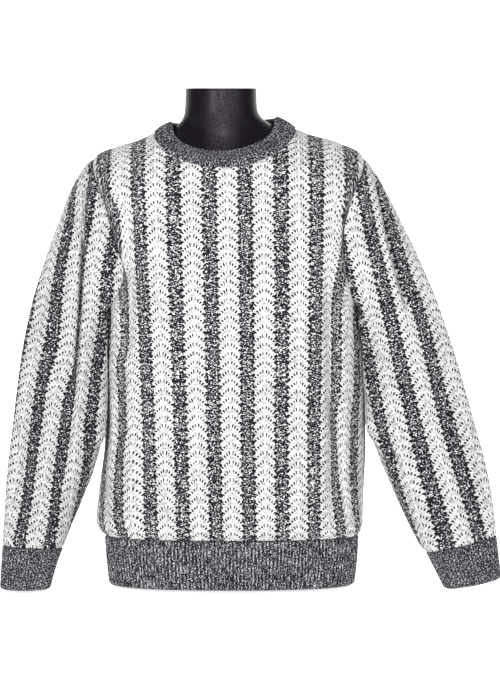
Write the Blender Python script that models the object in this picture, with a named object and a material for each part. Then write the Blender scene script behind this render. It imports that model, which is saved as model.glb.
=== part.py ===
"""Striped crewneck sweater, worn by a limbless dress form that stands on its flat base.

The knitted pieces are lofted walls between rows of points. Each row is read from a short
table of the garment's sizes. +X is to the viewer's right (the wearer's left), -Y is the
wearer's front and +Z is up. The origin is the middle of the form's flat base. Metres.
"""
import math
from collections import namedtuple

import bmesh
import bpy
from mathutils import Vector

COLLECTION_NAME = "striped crewneck sweater on dress form"

# Knit and seams
WALL = 0.003            # thickness of the body and sleeve knit
SEAM_GAP = 0.0004       # clear space between two pieces at a seam
NECK_SEAM_GAP = 0.0008  # the same at the neck, where the two edges twist
RIB_PITCH = 0.0054      # width of one rib and its groove
RIB_HEIGHT = 0.0012     # how far a rib stands out of its groove
RIB_INSET = 0.001       # grooves lie this far inside the bands' sections
ROUNDNESS = 2.5         # exponent of the body's rounded sections, 2 is an ellipse

# Heights and openings
HEM_TOP = 0.0785
UNDERARM = 0.425
SHOULDER_ROUND_FRONT = 0.090    # height over which the front rolls up to the shoulder seam
SHOULDER_ROUND_BACK = 0.080
NECK_MIDDLE = -0.0075
NECK_HALF_WIDTH = 0.109
NECK_DROP_FRONT = 0.064
NECK_DROP_BACK = 0.012
NECK_FULLNESS = 1.15            # 1 is a half-ellipse, more draws the neck's sides in
SLEEVE_CLEARANCE = 0.0035       # between a hanging sleeve and the side of the body
SLEEVE_CLEARANCE_TOP = 0.0006   # the same just below the underarm
UNDERARM_ROLL = 0.030           # the sleeve starts to keep clear this far above the underarm
ARMHOLE_SHARE = 0.40            # share of the sleeve that takes on the armhole's shape
ARMHOLE_FADE = 2.2              # how fast that shape fades along it

# How finely the walls are divided
NECK_STEPS_FRONT = 16
NECK_STEPS_BACK = 12
NECK_SAMPLES = 400
NECK_ROW_SHARE = 0.075      # rows under the neck are this share of the panel's top part apart
NORMAL_STEP = 0.001
SHOULDER_STEPS = 5
RIBS_PER_NECK_STEP = 4
RIBS_PER_INNER_STEP = 4
FORM_STEPS = 32
SECTION_SAMPLES = 720
COLUMN_EVENNESS = 0.45      # 1 spaces a panel's columns evenly, 0 crowds them at its sides
BODY_SHARES = [0.0, 0.02, 0.05, 0.09, 0.16, 0.25, 0.36, 0.48, 0.61, 0.74, 0.86, 0.95]
ARMHOLE_SHARES = [0.0, 0.018, 0.052, 0.11, 0.19, 0.285, 0.385, 0.49, 0.59]
ROLL_SHARE = 0.39           # share of the armhole's height where the panels roll over
ROLL_ANGLES = [70, 53, 35, 17, 0]
SLEEVE_SHARES = [0.0, 0.012, 0.032, 0.065, 0.11, 0.165, 0.23, 0.30, 0.38, 0.46, 0.55, 0.64,
                 0.73, 0.82, 0.90, 0.965, 1.0]
CUFF_SHARES = [0.0, 0.35, 0.7, 1.0]

# Half sections of the body, from the hem seam up: the side seams and the reach to each face
BodyRow = namedtuple("BodyRow", "z left right front back")
BODY = [
    BodyRow(0.0785, -0.1930, 0.1985, 0.1220, 0.1150),
    BodyRow(0.0920, -0.2035, 0.2040, 0.1300, 0.1220),
    BodyRow(0.1070, -0.2060, 0.2055, 0.1335, 0.1255),
    BodyRow(0.1370, -0.2030, 0.2065, 0.1340, 0.1270),
    BodyRow(0.1700, -0.1990, 0.2080, 0.1330, 0.1265),
    BodyRow(0.2140, -0.1935, 0.2100, 0.1310, 0.1250),
    BodyRow(0.3000, -0.1905, 0.2085, 0.1290, 0.1240),
    BodyRow(0.3800, -0.1905, 0.2040, 0.1290, 0.1250),
    BodyRow(0.4250, -0.1905, 0.2015, 0.1300, 0.1265),
    BodyRow(0.4800, -0.2000, 0.2120, 0.1300, 0.1280),
    BodyRow(0.5770, -0.2250, 0.2280, 0.1200, 0.1230),
    BodyRow(0.6400, -0.2480, 0.2480, 0.1110, 0.1120),
    BodyRow(0.7200, -0.2600, 0.2600, 0.1040, 0.0980),
]

# The shoulder seam from tip to tip, carried across the open neck as a low arch
ShoulderRow = namedtuple("ShoulderRow", "x z")
SHOULDER = [
    ShoulderRow(-0.2110, 0.6595),
    ShoulderRow(-0.2040, 0.6660),
    ShoulderRow(-0.1945, 0.6712),
    ShoulderRow(-0.1780, 0.6765),
    ShoulderRow(-0.1426, 0.6872),
    ShoulderRow(-0.1165, 0.6980),
    ShoulderRow(-0.0600, 0.7110),
    ShoulderRow(0.0000, 0.7145),
    ShoulderRow(0.0600, 0.7125),
    ShoulderRow(0.1015, 0.7035),
    ShoulderRow(0.1287, 0.6947),
    ShoulderRow(0.1488, 0.6895),
    ShoulderRow(0.1705, 0.6823),
    ShoulderRow(0.1907, 0.6746),
    ShoulderRow(0.1990, 0.6695),
    ShoulderRow(0.2065, 0.6605),
]

# The armhole seams on the front, from the underarm up, and how much wider the back is cut
ArmholeRow = namedtuple("ArmholeRow", "z left right back_extra")
ARMHOLE = [
    ArmholeRow(0.4250, -0.1905, 0.2015, 0.000),
    ArmholeRow(0.4290, -0.1835, 0.1950, 0.002),
    ArmholeRow(0.4370, -0.1755, 0.1885, 0.004),
    ArmholeRow(0.4520, -0.1655, 0.1815, 0.006),
    ArmholeRow(0.4820, -0.1580, 0.1765, 0.008),
    ArmholeRow(0.5180, -0.1700, 0.1715, 0.009),
    ArmholeRow(0.5500, -0.1790, 0.1735, 0.009),
    ArmholeRow(0.5850, -0.1890, 0.1830, 0.006),
    ArmholeRow(0.6100, -0.1990, 0.1920, 0.004),
    ArmholeRow(0.6300, -0.2065, 0.2005, 0.002),
    ArmholeRow(0.6500, -0.2105, 0.2065, 0.001),
    ArmholeRow(0.6605, -0.2110, 0.2065, 0.000),
]

# Sleeve sections: the outer edge, the inner edge, the middle's place front to back (forward
# is negative) and half the section's depth. share runs from the armhole to the cuff seam.
SleeveRow = namedtuple("SleeveRow", "share out_x out_z in_x in_z mid_y half_depth")
SLEEVE_LEFT = [
    SleeveRow(0.000, -0.2110, 0.6595, -0.1930, 0.4250, 0.000, 0.086),
    SleeveRow(0.032, -0.2280, 0.6420, -0.1940, 0.4190, -0.001, 0.085),
    SleeveRow(0.080, -0.2445, 0.6120, -0.1945, 0.4096, -0.002, 0.083),
    SleeveRow(0.143, -0.2590, 0.5750, -0.1945, 0.3963, -0.005, 0.080),
    SleeveRow(0.219, -0.2750, 0.5300, -0.1945, 0.3782, -0.009, 0.076),
    SleeveRow(0.304, -0.2890, 0.4800, -0.1950, 0.3558, -0.013, 0.072),
    SleeveRow(0.397, -0.3030, 0.4250, -0.1950, 0.3281, -0.018, 0.068),
    SleeveRow(0.499, -0.3140, 0.3650, -0.1950, 0.2943, -0.026, 0.065),
    SleeveRow(0.601, -0.3212, 0.3050, -0.1955, 0.2566, -0.034, 0.063),
    SleeveRow(0.703, -0.3268, 0.2450, -0.1985, 0.2147, -0.044, 0.061),
    SleeveRow(0.796, -0.3325, 0.1900, -0.2095, 0.1724, -0.054, 0.057),
    SleeveRow(0.881, -0.3370, 0.1400, -0.2263, 0.1306, -0.063, 0.052),
    SleeveRow(0.952, -0.3405, 0.0980, -0.2411, 0.0926, -0.071, 0.047),
    SleeveRow(1.000, -0.3424, 0.0699, -0.2514, 0.0655, -0.076, 0.042),
]
SLEEVE_RIGHT = [
    SleeveRow(0.000, 0.2065, 0.6605, 0.2040, 0.4250, 0.000, 0.086),
    SleeveRow(0.036, 0.2225, 0.6410, 0.2060, 0.4173, -0.001, 0.085),
    SleeveRow(0.084, 0.2385, 0.6120, 0.2075, 0.4068, -0.002, 0.083),
    SleeveRow(0.149, 0.2575, 0.5750, 0.2090, 0.3917, -0.005, 0.080),
    SleeveRow(0.227, 0.2800, 0.5300, 0.2105, 0.3716, -0.009, 0.076),
    SleeveRow(0.314, 0.3000, 0.4800, 0.2120, 0.3470, -0.013, 0.073),
    SleeveRow(0.409, 0.3200, 0.4250, 0.2130, 0.3172, -0.018, 0.071),
    SleeveRow(0.513, 0.3390, 0.3650, 0.2135, 0.2811, -0.026, 0.070),
    SleeveRow(0.618, 0.3555, 0.3050, 0.2160, 0.2412, -0.034, 0.069),
    SleeveRow(0.722, 0.3710, 0.2450, 0.2294, 0.1974, -0.044, 0.066),
    SleeveRow(0.817, 0.3850, 0.1900, 0.2479, 0.1535, -0.054, 0.062),
    SleeveRow(0.904, 0.3955, 0.1400, 0.2665, 0.1103, -0.063, 0.057),
    SleeveRow(0.965, 0.4010, 0.1020, 0.2845, 0.0745, -0.070, 0.051),
    SleeveRow(1.000, 0.4030, 0.0847, 0.2967, 0.0581, -0.073, 0.046),
]

# Cuff sections from the seam to the open end
CuffRow = namedtuple("CuffRow", "share out_x out_z in_x in_z mid_y half_depth")
CUFF_LEFT = [
    CuffRow(0.0, -0.3424, 0.0699, -0.2514, 0.0655, -0.0760, 0.0415),
    CuffRow(0.5, -0.3440, 0.0370, -0.2620, 0.0345, -0.0810, 0.0385),
    CuffRow(1.0, -0.3454, 0.0045, -0.2700, 0.0040, -0.0850, 0.0360),
]
CUFF_RIGHT = [
    CuffRow(0.0, 0.4030, 0.0847, 0.2967, 0.0581, -0.0730, 0.0455),
    CuffRow(0.5, 0.4060, 0.0530, 0.3105, 0.0310, -0.0790, 0.0425),
    CuffRow(1.0, 0.4089, 0.0212, 0.3238, 0.0040, -0.0850, 0.0400),
]

# Hem band sections
HemRow = namedtuple("HemRow", "z left right front back")
HEM = [
    HemRow(0.0040, -0.1868, 0.1925, 0.1165, 0.1100),
    HemRow(0.0400, -0.1905, 0.1965, 0.1195, 0.1130),
    HemRow(0.0781, -0.1935, 0.1990, 0.1215, 0.1150),
]

# The dress form: sections from its flat base to its neck; roundness 2 is an ellipse
FormRow = namedtuple("FormRow", "z left right front back roundness")
FORM = [
    FormRow(0.0000, -0.1600, 0.1650, 0.0780, 0.0820, 2.30),
    FormRow(0.0040, -0.1640, 0.1690, 0.0810, 0.0850, 2.30),
    FormRow(0.0600, -0.1660, 0.1710, 0.0860, 0.0900, 2.30),
    FormRow(0.1400, -0.1640, 0.1690, 0.0900, 0.0940, 2.30),
    FormRow(0.2200, -0.1550, 0.1600, 0.0890, 0.0900, 2.30),
    FormRow(0.3000, -0.1510, 0.1560, 0.0900, 0.0880, 2.30),
    FormRow(0.3900, -0.1560, 0.1610, 0.0980, 0.0920, 2.30),
    FormRow(0.4700, -0.1660, 0.1680, 0.1040, 0.0970, 2.30),
    FormRow(0.5500, -0.1780, 0.1740, 0.1030, 0.0990, 2.30),
    FormRow(0.6100, -0.1840, 0.1780, 0.0930, 0.0880, 2.20),
    FormRow(0.6400, -0.1850, 0.1830, 0.0830, 0.0780, 2.10),
    FormRow(0.6600, -0.1820, 0.1860, 0.0670, 0.0660, 1.90),
    FormRow(0.6720, -0.1740, 0.1810, 0.0590, 0.0600, 1.65),
    FormRow(0.6829, -0.1430, 0.1570, 0.0545, 0.0560, 1.45),
    FormRow(0.6928, -0.1175, 0.1215, 0.0530, 0.0530, 1.35),
    FormRow(0.7000, -0.0985, 0.0960, 0.0530, 0.0515, 1.35),
    FormRow(0.7080, -0.0860, 0.0760, 0.0530, 0.0505, 1.50),
    FormRow(0.7150, -0.0780, 0.0600, 0.0530, 0.0500, 1.80),
    FormRow(0.7230, -0.0728, 0.0485, 0.0535, 0.0500, 2.00),
    FormRow(0.7330, -0.0703, 0.0428, 0.0540, 0.0500, 2.05),
    FormRow(0.7500, -0.0697, 0.0418, 0.0540, 0.0500, 2.05),
    FormRow(0.7650, -0.0697, 0.0418, 0.0540, 0.0500, 2.05),
]
FORM_HEIGHTS = [0.0, 0.004, 0.06, 0.13, 0.20, 0.27, 0.34, 0.41, 0.48, 0.54, 0.59, 0.625,
                0.645, 0.660, 0.672, 0.6829, 0.6928, 0.700, 0.708, 0.715, 0.723, 0.733,
                0.750]
FORM_NECK_TOP = 0.7690
FORM_NECK_SLOPE = 0.135     # the neck's top leans down to the front by this rise per metre
FORM_NECK_EDGE = 0.0013     # rounding of the neck's top edge

# The collar: its round upper edge is a ring inside and above the neck seam
COLLAR_TOP_MIDDLE = -0.0093
COLLAR_TOP_HALF_WIDTH = 0.0830
COLLAR_TOP_LEFT = 0.7150
COLLAR_TOP_RIGHT = 0.7225
COLLAR_TOP_DROP_FRONT = 0.0570
COLLAR_TOP_DROP_BACK = -0.0020
COLLAR_TOP_FRONT = 0.0830
COLLAR_TOP_BACK = 0.0620
COLLAR_INSIDE = 0.0034      # the band's inner face lies this far under the seam
COLLAR_EDGE = 0.0022        # the round edge rises this far past the ring

# Across the collar from the seam: share of its width, and how far it stands out of the knit
CollarRow = namedtuple("CollarRow", "share proud ribbed")
COLLAR = [
    CollarRow(0.00, 0.0000, False),
    CollarRow(0.09, 0.0024, True),
    CollarRow(0.45, 0.0036, True),
    CollarRow(0.85, 0.0024, True),
]

# Folds on a panel: a line from one place to another, half its width, and how far it stands
# out of the cloth (a trough is negative)
PanelFold = namedtuple("PanelFold", "x0 z0 x1 z1 width height")
FRONT_FOLDS = [
    PanelFold(0.148, 0.500, 0.152, 0.110, 0.012, -0.0090),
    PanelFold(0.172, 0.440, 0.176, 0.120, 0.012, 0.0050),
    PanelFold(-0.146, 0.500, -0.150, 0.350, 0.010, -0.0090),
    PanelFold(-0.160, 0.340, -0.172, 0.170, 0.011, -0.0070),
    PanelFold(-0.168, 0.470, -0.120, 0.545, 0.011, 0.0045),
    PanelFold(-0.176, 0.125, -0.150, 0.092, 0.010, 0.0050),
    PanelFold(0.178, 0.480, 0.128, 0.560, 0.012, 0.0045),
    PanelFold(-0.040, 0.125, 0.030, 0.105, 0.014, 0.0025),
    PanelFold(0.095, 0.120, 0.150, 0.100, 0.012, 0.0035),
]
BACK_FOLDS = [
    PanelFold(-0.128, 0.540, -0.120, 0.170, 0.014, -0.0080),
    PanelFold(0.132, 0.520, 0.136, 0.140, 0.013, -0.0085),
    PanelFold(-0.165, 0.450, -0.105, 0.570, 0.013, 0.0050),
    PanelFold(0.172, 0.455, 0.118, 0.560, 0.012, 0.0050),
    PanelFold(-0.060, 0.140, 0.050, 0.115, 0.016, 0.0035),
    PanelFold(0.010, 0.420, 0.018, 0.240, 0.022, -0.0035),
]

# Folds along a sleeve: degrees around from the outer edge by way of the front, where along
# the sleeve they start and end, half their width in degrees, and height
SleeveFold = namedtuple("SleeveFold", "angle0 start angle1 end width height")
SLEEVE_FOLDS_LEFT = [
    SleeveFold(86, 0.04, 108, 0.52, 15, -0.0085),
    SleeveFold(58, 0.10, 72, 0.58, 16, 0.0040),
    SleeveFold(140, 0.20, 118, 0.66, 15, 0.0045),
    SleeveFold(120, 0.58, 88, 0.88, 15, -0.0050),
    SleeveFold(40, 0.72, 62, 0.96, 16, -0.0040),
    SleeveFold(262, 0.10, 248, 0.60, 16, -0.0080),
    SleeveFold(300, 0.55, 270, 0.92, 17, -0.0045),
]
SLEEVE_FOLDS_RIGHT = [
    SleeveFold(62, 0.03, 80, 0.40, 14, -0.0080),
    SleeveFold(104, 0.10, 112, 0.56, 16, 0.0040),
    SleeveFold(132, 0.26, 112, 0.70, 15, -0.0060),
    SleeveFold(74, 0.56, 96, 0.90, 15, -0.0045),
    SleeveFold(38, 0.60, 48, 0.94, 16, 0.0035),
    SleeveFold(256, 0.08, 242, 0.58, 16, -0.0080),
    SleeveFold(292, 0.50, 268, 0.92, 17, -0.0045),
]

# Colours, roughness
MARL_GREY = (0.150, 0.148, 0.165, 1.0)
WHITE_KNIT = (0.760, 0.757, 0.750, 1.0)
FORM_BLACK = (0.012, 0.011, 0.014, 1.0)


# --- reading the tables ------------------------------------------------------------------

def read(rows, along, column, at):
    """Value of one named column at a place along the table, on a smooth curve."""
    places = [getattr(row, along) for row in rows]
    values = [getattr(row, column) for row in rows]
    at = min(max(at, places[0]), places[-1])
    last = len(rows) - 1
    k = 0
    while k < last - 1 and places[k + 1] <= at:
        k += 1

    def slope(i):
        a, b = max(i - 1, 0), min(i + 1, last)
        return (values[b] - values[a]) / (places[b] - places[a])

    span = places[k + 1] - places[k]
    t = (at - places[k]) / span
    start = (1 + 2 * t) * (1 - t) ** 2 * values[k] + t * (1 - t) ** 2 * span * slope(k)
    end = t * t * (3 - 2 * t) * values[k + 1] - t * t * (1 - t) * span * slope(k + 1)
    return start + end


def ease(t):
    """0 to 1 with soft ends."""
    t = min(max(t, 0.0), 1.0)
    return t * t * (3 - 2 * t)


def sagged(distance, width):
    """Height of a fold's soft cross-section, 1 on its line."""
    return math.exp(-(distance / width) ** 2)


def evenly_spaced(line, steps):
    """Points at equal distances along a fine line of points."""
    lengths = [0.0]
    for a, b in zip(line, line[1:]):
        lengths.append(lengths[-1] + (b - a).length)
    points, k = [line[0].copy()], 0
    for i in range(1, steps):
        want = lengths[-1] * i / steps
        while lengths[k + 1] < want:
            k += 1
        t = (want - lengths[k]) / (lengths[k + 1] - lengths[k])
        points.append(line[k].lerp(line[k + 1], t))
    points.append(line[-1].copy())
    return points


# --- the body's surface --------------------------------------------------------------------

def shoulder_height(x):
    return read(SHOULDER, "x", "z", x)


def panel_relief(folds, x, z):
    """How far the folds push the cloth out at a place on a panel."""
    push = 0.0
    for fold in folds:
        run = Vector((fold.x1 - fold.x0, fold.z1 - fold.z0))
        here = Vector((x - fold.x0, z - fold.z0))
        share = here.dot(run) / run.length_squared
        side = abs(run.x * here.y - run.y * here.x) / run.length
        ends = ease((share + 0.1) / 0.3) * ease((1.1 - share) / 0.3)
        push += fold.height * sagged(side, fold.width) * ends
    return push


def body_point(x, z, side):
    """Point of the outer surface at a place seen from the front; side is -1 front, 1 back."""
    left, right = read(BODY, "z", "left", z), read(BODY, "z", "right", z)
    middle, half = (left + right) / 2, (right - left) / 2
    reach = min(abs(x - middle) / half, 1.0)
    across = (1 - reach ** ROUNDNESS) ** (1 / ROUNDNESS)
    column, folds, roll = (("front", FRONT_FOLDS, SHOULDER_ROUND_FRONT) if side < 0 else
                           ("back", BACK_FOLDS, SHOULDER_ROUND_BACK))
    below = min(max((shoulder_height(x) - z) / roll, 0.0), 1.0)
    over = math.sqrt(1 - (1 - below) ** 2)
    depth = read(BODY, "z", column, z) * across * over
    depth += panel_relief(folds, x, z) * min(across * 1.5, 1.0) * over
    return Vector((x, side * depth, z))


def body_normal(x, z, side):
    """Outward unit direction of the body's surface."""
    here = body_point(x, z, side)
    across = body_point(x + NORMAL_STEP, z, side) - here
    down = body_point(x, z - NORMAL_STEP, side) - here
    return (across.cross(down) * side).normalized()


def body_edge(y, z, hand):
    """X of the body's side at a depth; hand is -1 on the viewer's left, 1 on the right."""
    left, right = read(BODY, "z", "left", z), read(BODY, "z", "right", z)
    depth = read(BODY, "z", "front" if y < 0 else "back", z)
    reach = max(1 - min(abs(y) / depth, 1.0) ** ROUNDNESS, 0.0) ** (1 / ROUNDNESS)
    return (left + right) / 2 + hand * (right - left) / 2 * reach


def armhole_x(z, hand, side):
    """X of the armhole seam on one side of the front or back."""
    x = read(ARMHOLE, "z", "left" if hand < 0 else "right", z)
    extra = read(ARMHOLE, "z", "back_extra", z) if side > 0 else 0.0
    return x + hand * extra


def neckline(side, steps):
    """The neck seam on one panel, from the viewer's left to right, as evenly spaced points."""
    drop = NECK_DROP_FRONT if side < 0 else NECK_DROP_BACK
    corners = [NECK_MIDDLE - NECK_HALF_WIDTH, NECK_MIDDLE + NECK_HALF_WIDTH]
    low, high = [shoulder_height(x) for x in corners]
    fine = []
    for i in range(NECK_SAMPLES + 1):
        turn = math.pi * i / NECK_SAMPLES
        x = NECK_MIDDLE - NECK_HALF_WIDTH * math.cos(turn)
        line = low + (high - low) * (1 - math.cos(turn)) / 2
        fine.append(body_point(x, line - drop * math.sin(turn) ** NECK_FULLNESS, side))
    fine[0].y = fine[-1].y = 0.0
    return evenly_spaced(fine, steps)


# --- seams that two pieces share -------------------------------------------------------------

def armhole_seam(hand, heights):
    """The armhole ring from the shoulder by way of the front, with its outward directions."""
    shoulder_z = shoulder_height(armhole_x(1.0, hand, -1))
    tall = (shoulder_z - UNDERARM) / 2
    middle_z = (shoulder_z + UNDERARM) / 2
    points = []
    for side, run in ((-1, list(reversed(heights))[:-1]), (1, heights[:-1])):
        for z in run:
            points.append(body_point(armhole_x(z, hand, side), z, side))
    deep = max(abs(p.y) for p in points)
    outward = []
    for p in points:
        outward.append(Vector((0.0, p.y / deep ** 2, (p.z - middle_z) / tall ** 2)).normalized())
    return points, outward


def side_heights(hand):
    """Heights of the panel's rows above the underarm at the armhole, from there up."""
    top = shoulder_height(armhole_x(1.0, hand, -1))
    roll = [1 - ROLL_SHARE * (1 - math.cos(math.radians(a))) for a in ROLL_ANGLES]
    return [UNDERARM + (top - UNDERARM) * share for share in ARMHOLE_SHARES + roll]


def neck_seam():
    """The neck ring from the viewer's left by way of the front: its points, the ways up the
    collar and out of it, and the way along the seam's cut edge."""
    back = list(reversed(neckline(1, NECK_STEPS_BACK)))
    points = neckline(-1, NECK_STEPS_FRONT) + back[1:-1]
    rises, outward, edges = [], [], []
    count = len(points)
    for i, p in enumerate(points):
        rise = collar_top(i) - p
        along = points[(i + 1) % count] - points[i - 1]
        out = along.cross(rise).normalized()
        rises.append(out.cross(along).normalized())
        outward.append(out)
        side = -1 if i <= NECK_STEPS_FRONT else 1
        edge = out + body_normal(p.x, p.z - NORMAL_STEP, side)
        edges.append((edge - along * edge.dot(along) / along.length_squared).normalized())
    return points, rises, outward, edges


def collar_top(i):
    """The collar's round inner edge above one point of the neck seam."""
    if i <= NECK_STEPS_FRONT:
        turn = math.pi * i / NECK_STEPS_FRONT
        y, drop = -COLLAR_TOP_FRONT * math.sin(turn), COLLAR_TOP_DROP_FRONT
    else:
        turn = math.pi * (1 + (i - NECK_STEPS_FRONT) / NECK_STEPS_BACK)
        y, drop = -COLLAR_TOP_BACK * math.sin(turn), COLLAR_TOP_DROP_BACK
    across = (1 - math.cos(turn)) / 2
    z = COLLAR_TOP_LEFT + (COLLAR_TOP_RIGHT - COLLAR_TOP_LEFT) * across
    z -= drop * abs(math.sin(turn))
    return Vector((COLLAR_TOP_MIDDLE - COLLAR_TOP_HALF_WIDTH * math.cos(turn), y, z))


# --- meshes -----------------------------------------------------------------------------------

def finish(name, bm, colour, roughness):
    """One object with outward faces and its own material."""
    bmesh.ops.recalc_face_normals(bm, faces=bm.faces)
    mesh = bpy.data.meshes.new(name)
    bm.to_mesh(mesh)
    bm.free()
    mesh.shade_smooth()
    mesh.set_sharp_from_angle(angle=math.radians(40))
    material = bpy.data.materials.new(name)
    material.use_nodes = True
    shader = material.node_tree.nodes["Principled BSDF"]
    shader.inputs["Base Color"].default_value = colour
    shader.inputs["Roughness"].default_value = roughness
    mesh.materials.append(material)
    obj = bpy.data.objects.new(name, mesh)
    bpy.data.collections[COLLECTION_NAME].objects.link(obj)
    return obj


def band(bm, one, other, closed):
    """Quads between two rows of vertices of equal length."""
    count = len(one) if closed else len(one) - 1
    for i in range(count):
        j = (i + 1) % len(one)
        bm.faces.new((one[i], one[j], other[j], other[i]))


def uneven_band(bm, fine, coarse):
    """Faces between a closed fine row and a closed row with fewer points."""
    ratio = len(fine) // len(coarse)
    for i, corner in enumerate(coarse):
        after = coarse[(i + 1) % len(coarse)]
        run = [fine[(i * ratio + k) % len(fine)] for k in range(ratio + 1)]
        bm.faces.new(run + [after, corner])


def wall(name, outer, inner, closed, colour):
    """A knit wall from matching outer and inner rows, shut at all its edges."""
    bm = bmesh.new()
    outside = [[bm.verts.new(p) for p in row] for row in outer]
    inside = [[bm.verts.new(p) for p in row] for row in inner]
    for rows in (outside, inside):
        for lower, upper in zip(rows, rows[1:]):
            band(bm, lower, upper, closed)
    for k in (0, -1):
        band(bm, outside[k], inside[k], closed)
    if not closed:
        for k in (0, -1):
            band(bm, [row[k] for row in outside], [row[k] for row in inside], False)
    return finish(name, bm, colour, 0.9)


def ribbed_wall(name, outer, inner, colour):
    """A ring with fine ribbed outer rows and a plain inside with fewer points."""
    bm = bmesh.new()
    outside = [[bm.verts.new(p) for p in row] for row in outer]
    inside = [[bm.verts.new(p) for p in row] for row in inner]
    for rows in (outside, inside):
        for lower, upper in zip(rows, rows[1:]):
            band(bm, lower, upper, True)
    uneven_band(bm, outside[0], inside[0])
    uneven_band(bm, outside[-1], inside[-1])
    return finish(name, bm, colour, 0.92)


def grid_normals(rows, closed):
    """Outward-or-inward unit normals of a grid of points, by its neighbours."""
    normals = []
    last = len(rows) - 1
    for r, row in enumerate(rows):
        line = []
        for c, _ in enumerate(row):
            if closed:
                west, east = row[c - 1], row[(c + 1) % len(row)]
            else:
                west, east = row[max(c - 1, 0)], row[min(c + 1, len(row) - 1)]
            along = rows[min(r + 1, last)][c] - rows[max(r - 1, 0)][c]
            line.append((east - west).cross(along).normalized())
        normals.append(line)
    return normals


# --- pieces -----------------------------------------------------------------------------------

def body_panel(name, side):
    """The front or the back, from the hem seam to the shoulders and neck."""
    neck_steps = NECK_STEPS_FRONT if side < 0 else NECK_STEPS_BACK
    neck = neckline(side, neck_steps)
    tips = {hand: armhole_x(1.0, hand, side) for hand in (-1, 1)}
    tops = []
    for k in range(SHOULDER_STEPS):
        x = tips[-1] + (neck[0].x - tips[-1]) * k / SHOULDER_STEPS
        tops.append((x, shoulder_height(x)))
    tops += [(p.x, p.z) for p in neck]
    for k in range(1, SHOULDER_STEPS + 1):
        x = neck[-1].x + (tips[1] - neck[-1].x) * k / SHOULDER_STEPS
        tops.append((x, shoulder_height(x)))
    shares = [(x - tips[-1]) / (tips[1] - tips[-1]) for x, _ in tops]
    last = len(tops) - 1
    evens = [COLUMN_EVENNESS * c / last
             + (1 - COLUMN_EVENNESS) * (1 - math.cos(math.pi * c / last)) / 2
             for c in range(last + 1)]
    neck_columns = range(SHOULDER_STEPS, SHOULDER_STEPS + neck_steps + 1)

    rows = []
    for share in BODY_SHARES:
        z = HEM_TOP + (UNDERARM - HEM_TOP) * share
        left, right = read(BODY, "z", "left", z), read(BODY, "z", "right", z)
        rows.append([body_point(left + (right - left) * even, z, side) for even in evens])
    heights = {hand: side_heights(hand) for hand in (-1, 1)}
    for r in range(len(heights[-1])):
        up = (heights[-1][r] - UNDERARM) / (heights[-1][-1] - UNDERARM)
        ends = [armhole_x(heights[hand][r], hand, side) for hand in (-1, 1)]
        row = []
        for c, (x_top, z_top) in enumerate(tops):
            from_corner = min(c - neck_columns[0], neck_columns[-1] - c)
            even_up = 1 - (len(heights[-1]) - 1 - r) * NECK_ROW_SHARE
            share = up + (even_up - up) * ease(from_corner / 3) * ease((up - 0.6) / 0.3)
            z = UNDERARM + (z_top - UNDERARM) * share
            spread = evens[c] + (shares[c] - evens[c]) * ease(up / 0.95)
            x = ends[0] + (ends[1] - ends[0]) * spread
            row.append(body_point(x, z, side))
        rows.append(row)
    top_row = rows[-1]
    for c, p in enumerate(top_row):
        if c not in neck_columns[1:-1]:
            p.y = 0.0

    normals = grid_normals(rows, False)
    sign = 1 if normals[len(rows) // 2][last // 2].y * side > 0 else -1
    inner = []
    for r, row in enumerate(rows):
        line = []
        for c, p in enumerate(row):
            out = normals[r][c] * sign
            if r < len(BODY_SHARES) and c in (0, last):
                out = Vector((-1.0 if c == 0 else 1.0, 0.0, 0.0))
            if r == 0:
                out = Vector((out.x, out.y, 0.0)).normalized()
            line.append(p - out * WALL)
        inner.append(line)

    # The inner edges follow the seams that the neighbours share
    for hand, c in ((-1, 0), (1, last)):
        ring, outward = armhole_seam(hand, heights[hand])
        steps = len(heights[hand]) - 1
        for r in range(steps + 1):
            k = steps - r if side < 0 else (steps + r) % len(ring)
            row = len(BODY_SHARES) + r
            away = Vector((-hand * SEAM_GAP / 2, 0.0, 0.0))
            inner[row][c] = ring[k] - outward[k] * WALL + away
            rows[row][c] = ring[k] + away
    ring, rises, _, edges = neck_seam()
    for i, c in enumerate(neck_columns):
        k = i if side < 0 else (len(ring) - i) % len(ring)
        rows[-1][c] = ring[k] - rises[k] * NECK_SEAM_GAP / 2
        inner[-1][c] = rows[-1][c] - edges[k] * WALL
    for c in list(range(1, SHOULDER_STEPS)) + list(range(last - SHOULDER_STEPS + 1, last)):
        slope = Vector((rows[-1][c + 1].x - rows[-1][c - 1].x, 0.0,
                        rows[-1][c + 1].z - rows[-1][c - 1].z)).normalized()
        inner[-1][c] = rows[-1][c] - Vector((-slope.z, 0.0, slope.x)) * WALL

    # Front and back stand clear of each other at the side and shoulder seams
    clear = side * SEAM_GAP / 2
    for row in rows + inner:
        for p in row:
            p.y = side * max(side * p.y, abs(clear))
    return wall(name, rows, inner, False, WHITE_KNIT)


def sleeve_section(rows, share):
    """Centre, outward direction and half sizes of a sleeve or cuff section."""
    value = {f: read(rows, "share", f, share) for f in rows[0]._fields[1:]}
    out = Vector((value["out_x"], 0.0, value["out_z"]))
    inward = Vector((value["in_x"], 0.0, value["in_z"]))
    centre = (out + inward) / 2
    centre.y = value["mid_y"]
    across = out - inward
    return centre, across.normalized(), across.length / 2, value["half_depth"]


def sleeve_relief(folds, angle, share):
    """How far the folds push the sleeve out at an angle in degrees around it."""
    push = 0.0
    for fold in folds:
        along = (share - fold.start) / (fold.end - fold.start)
        line = fold.angle0 + (fold.angle1 - fold.angle0) * along
        away = (angle - line + 180) % 360 - 180
        ends = ease((along + 0.05) / 0.3) * ease((1.05 - along) / 0.3)
        push += fold.height * sagged(away, fold.width) * ends
    return push


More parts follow.
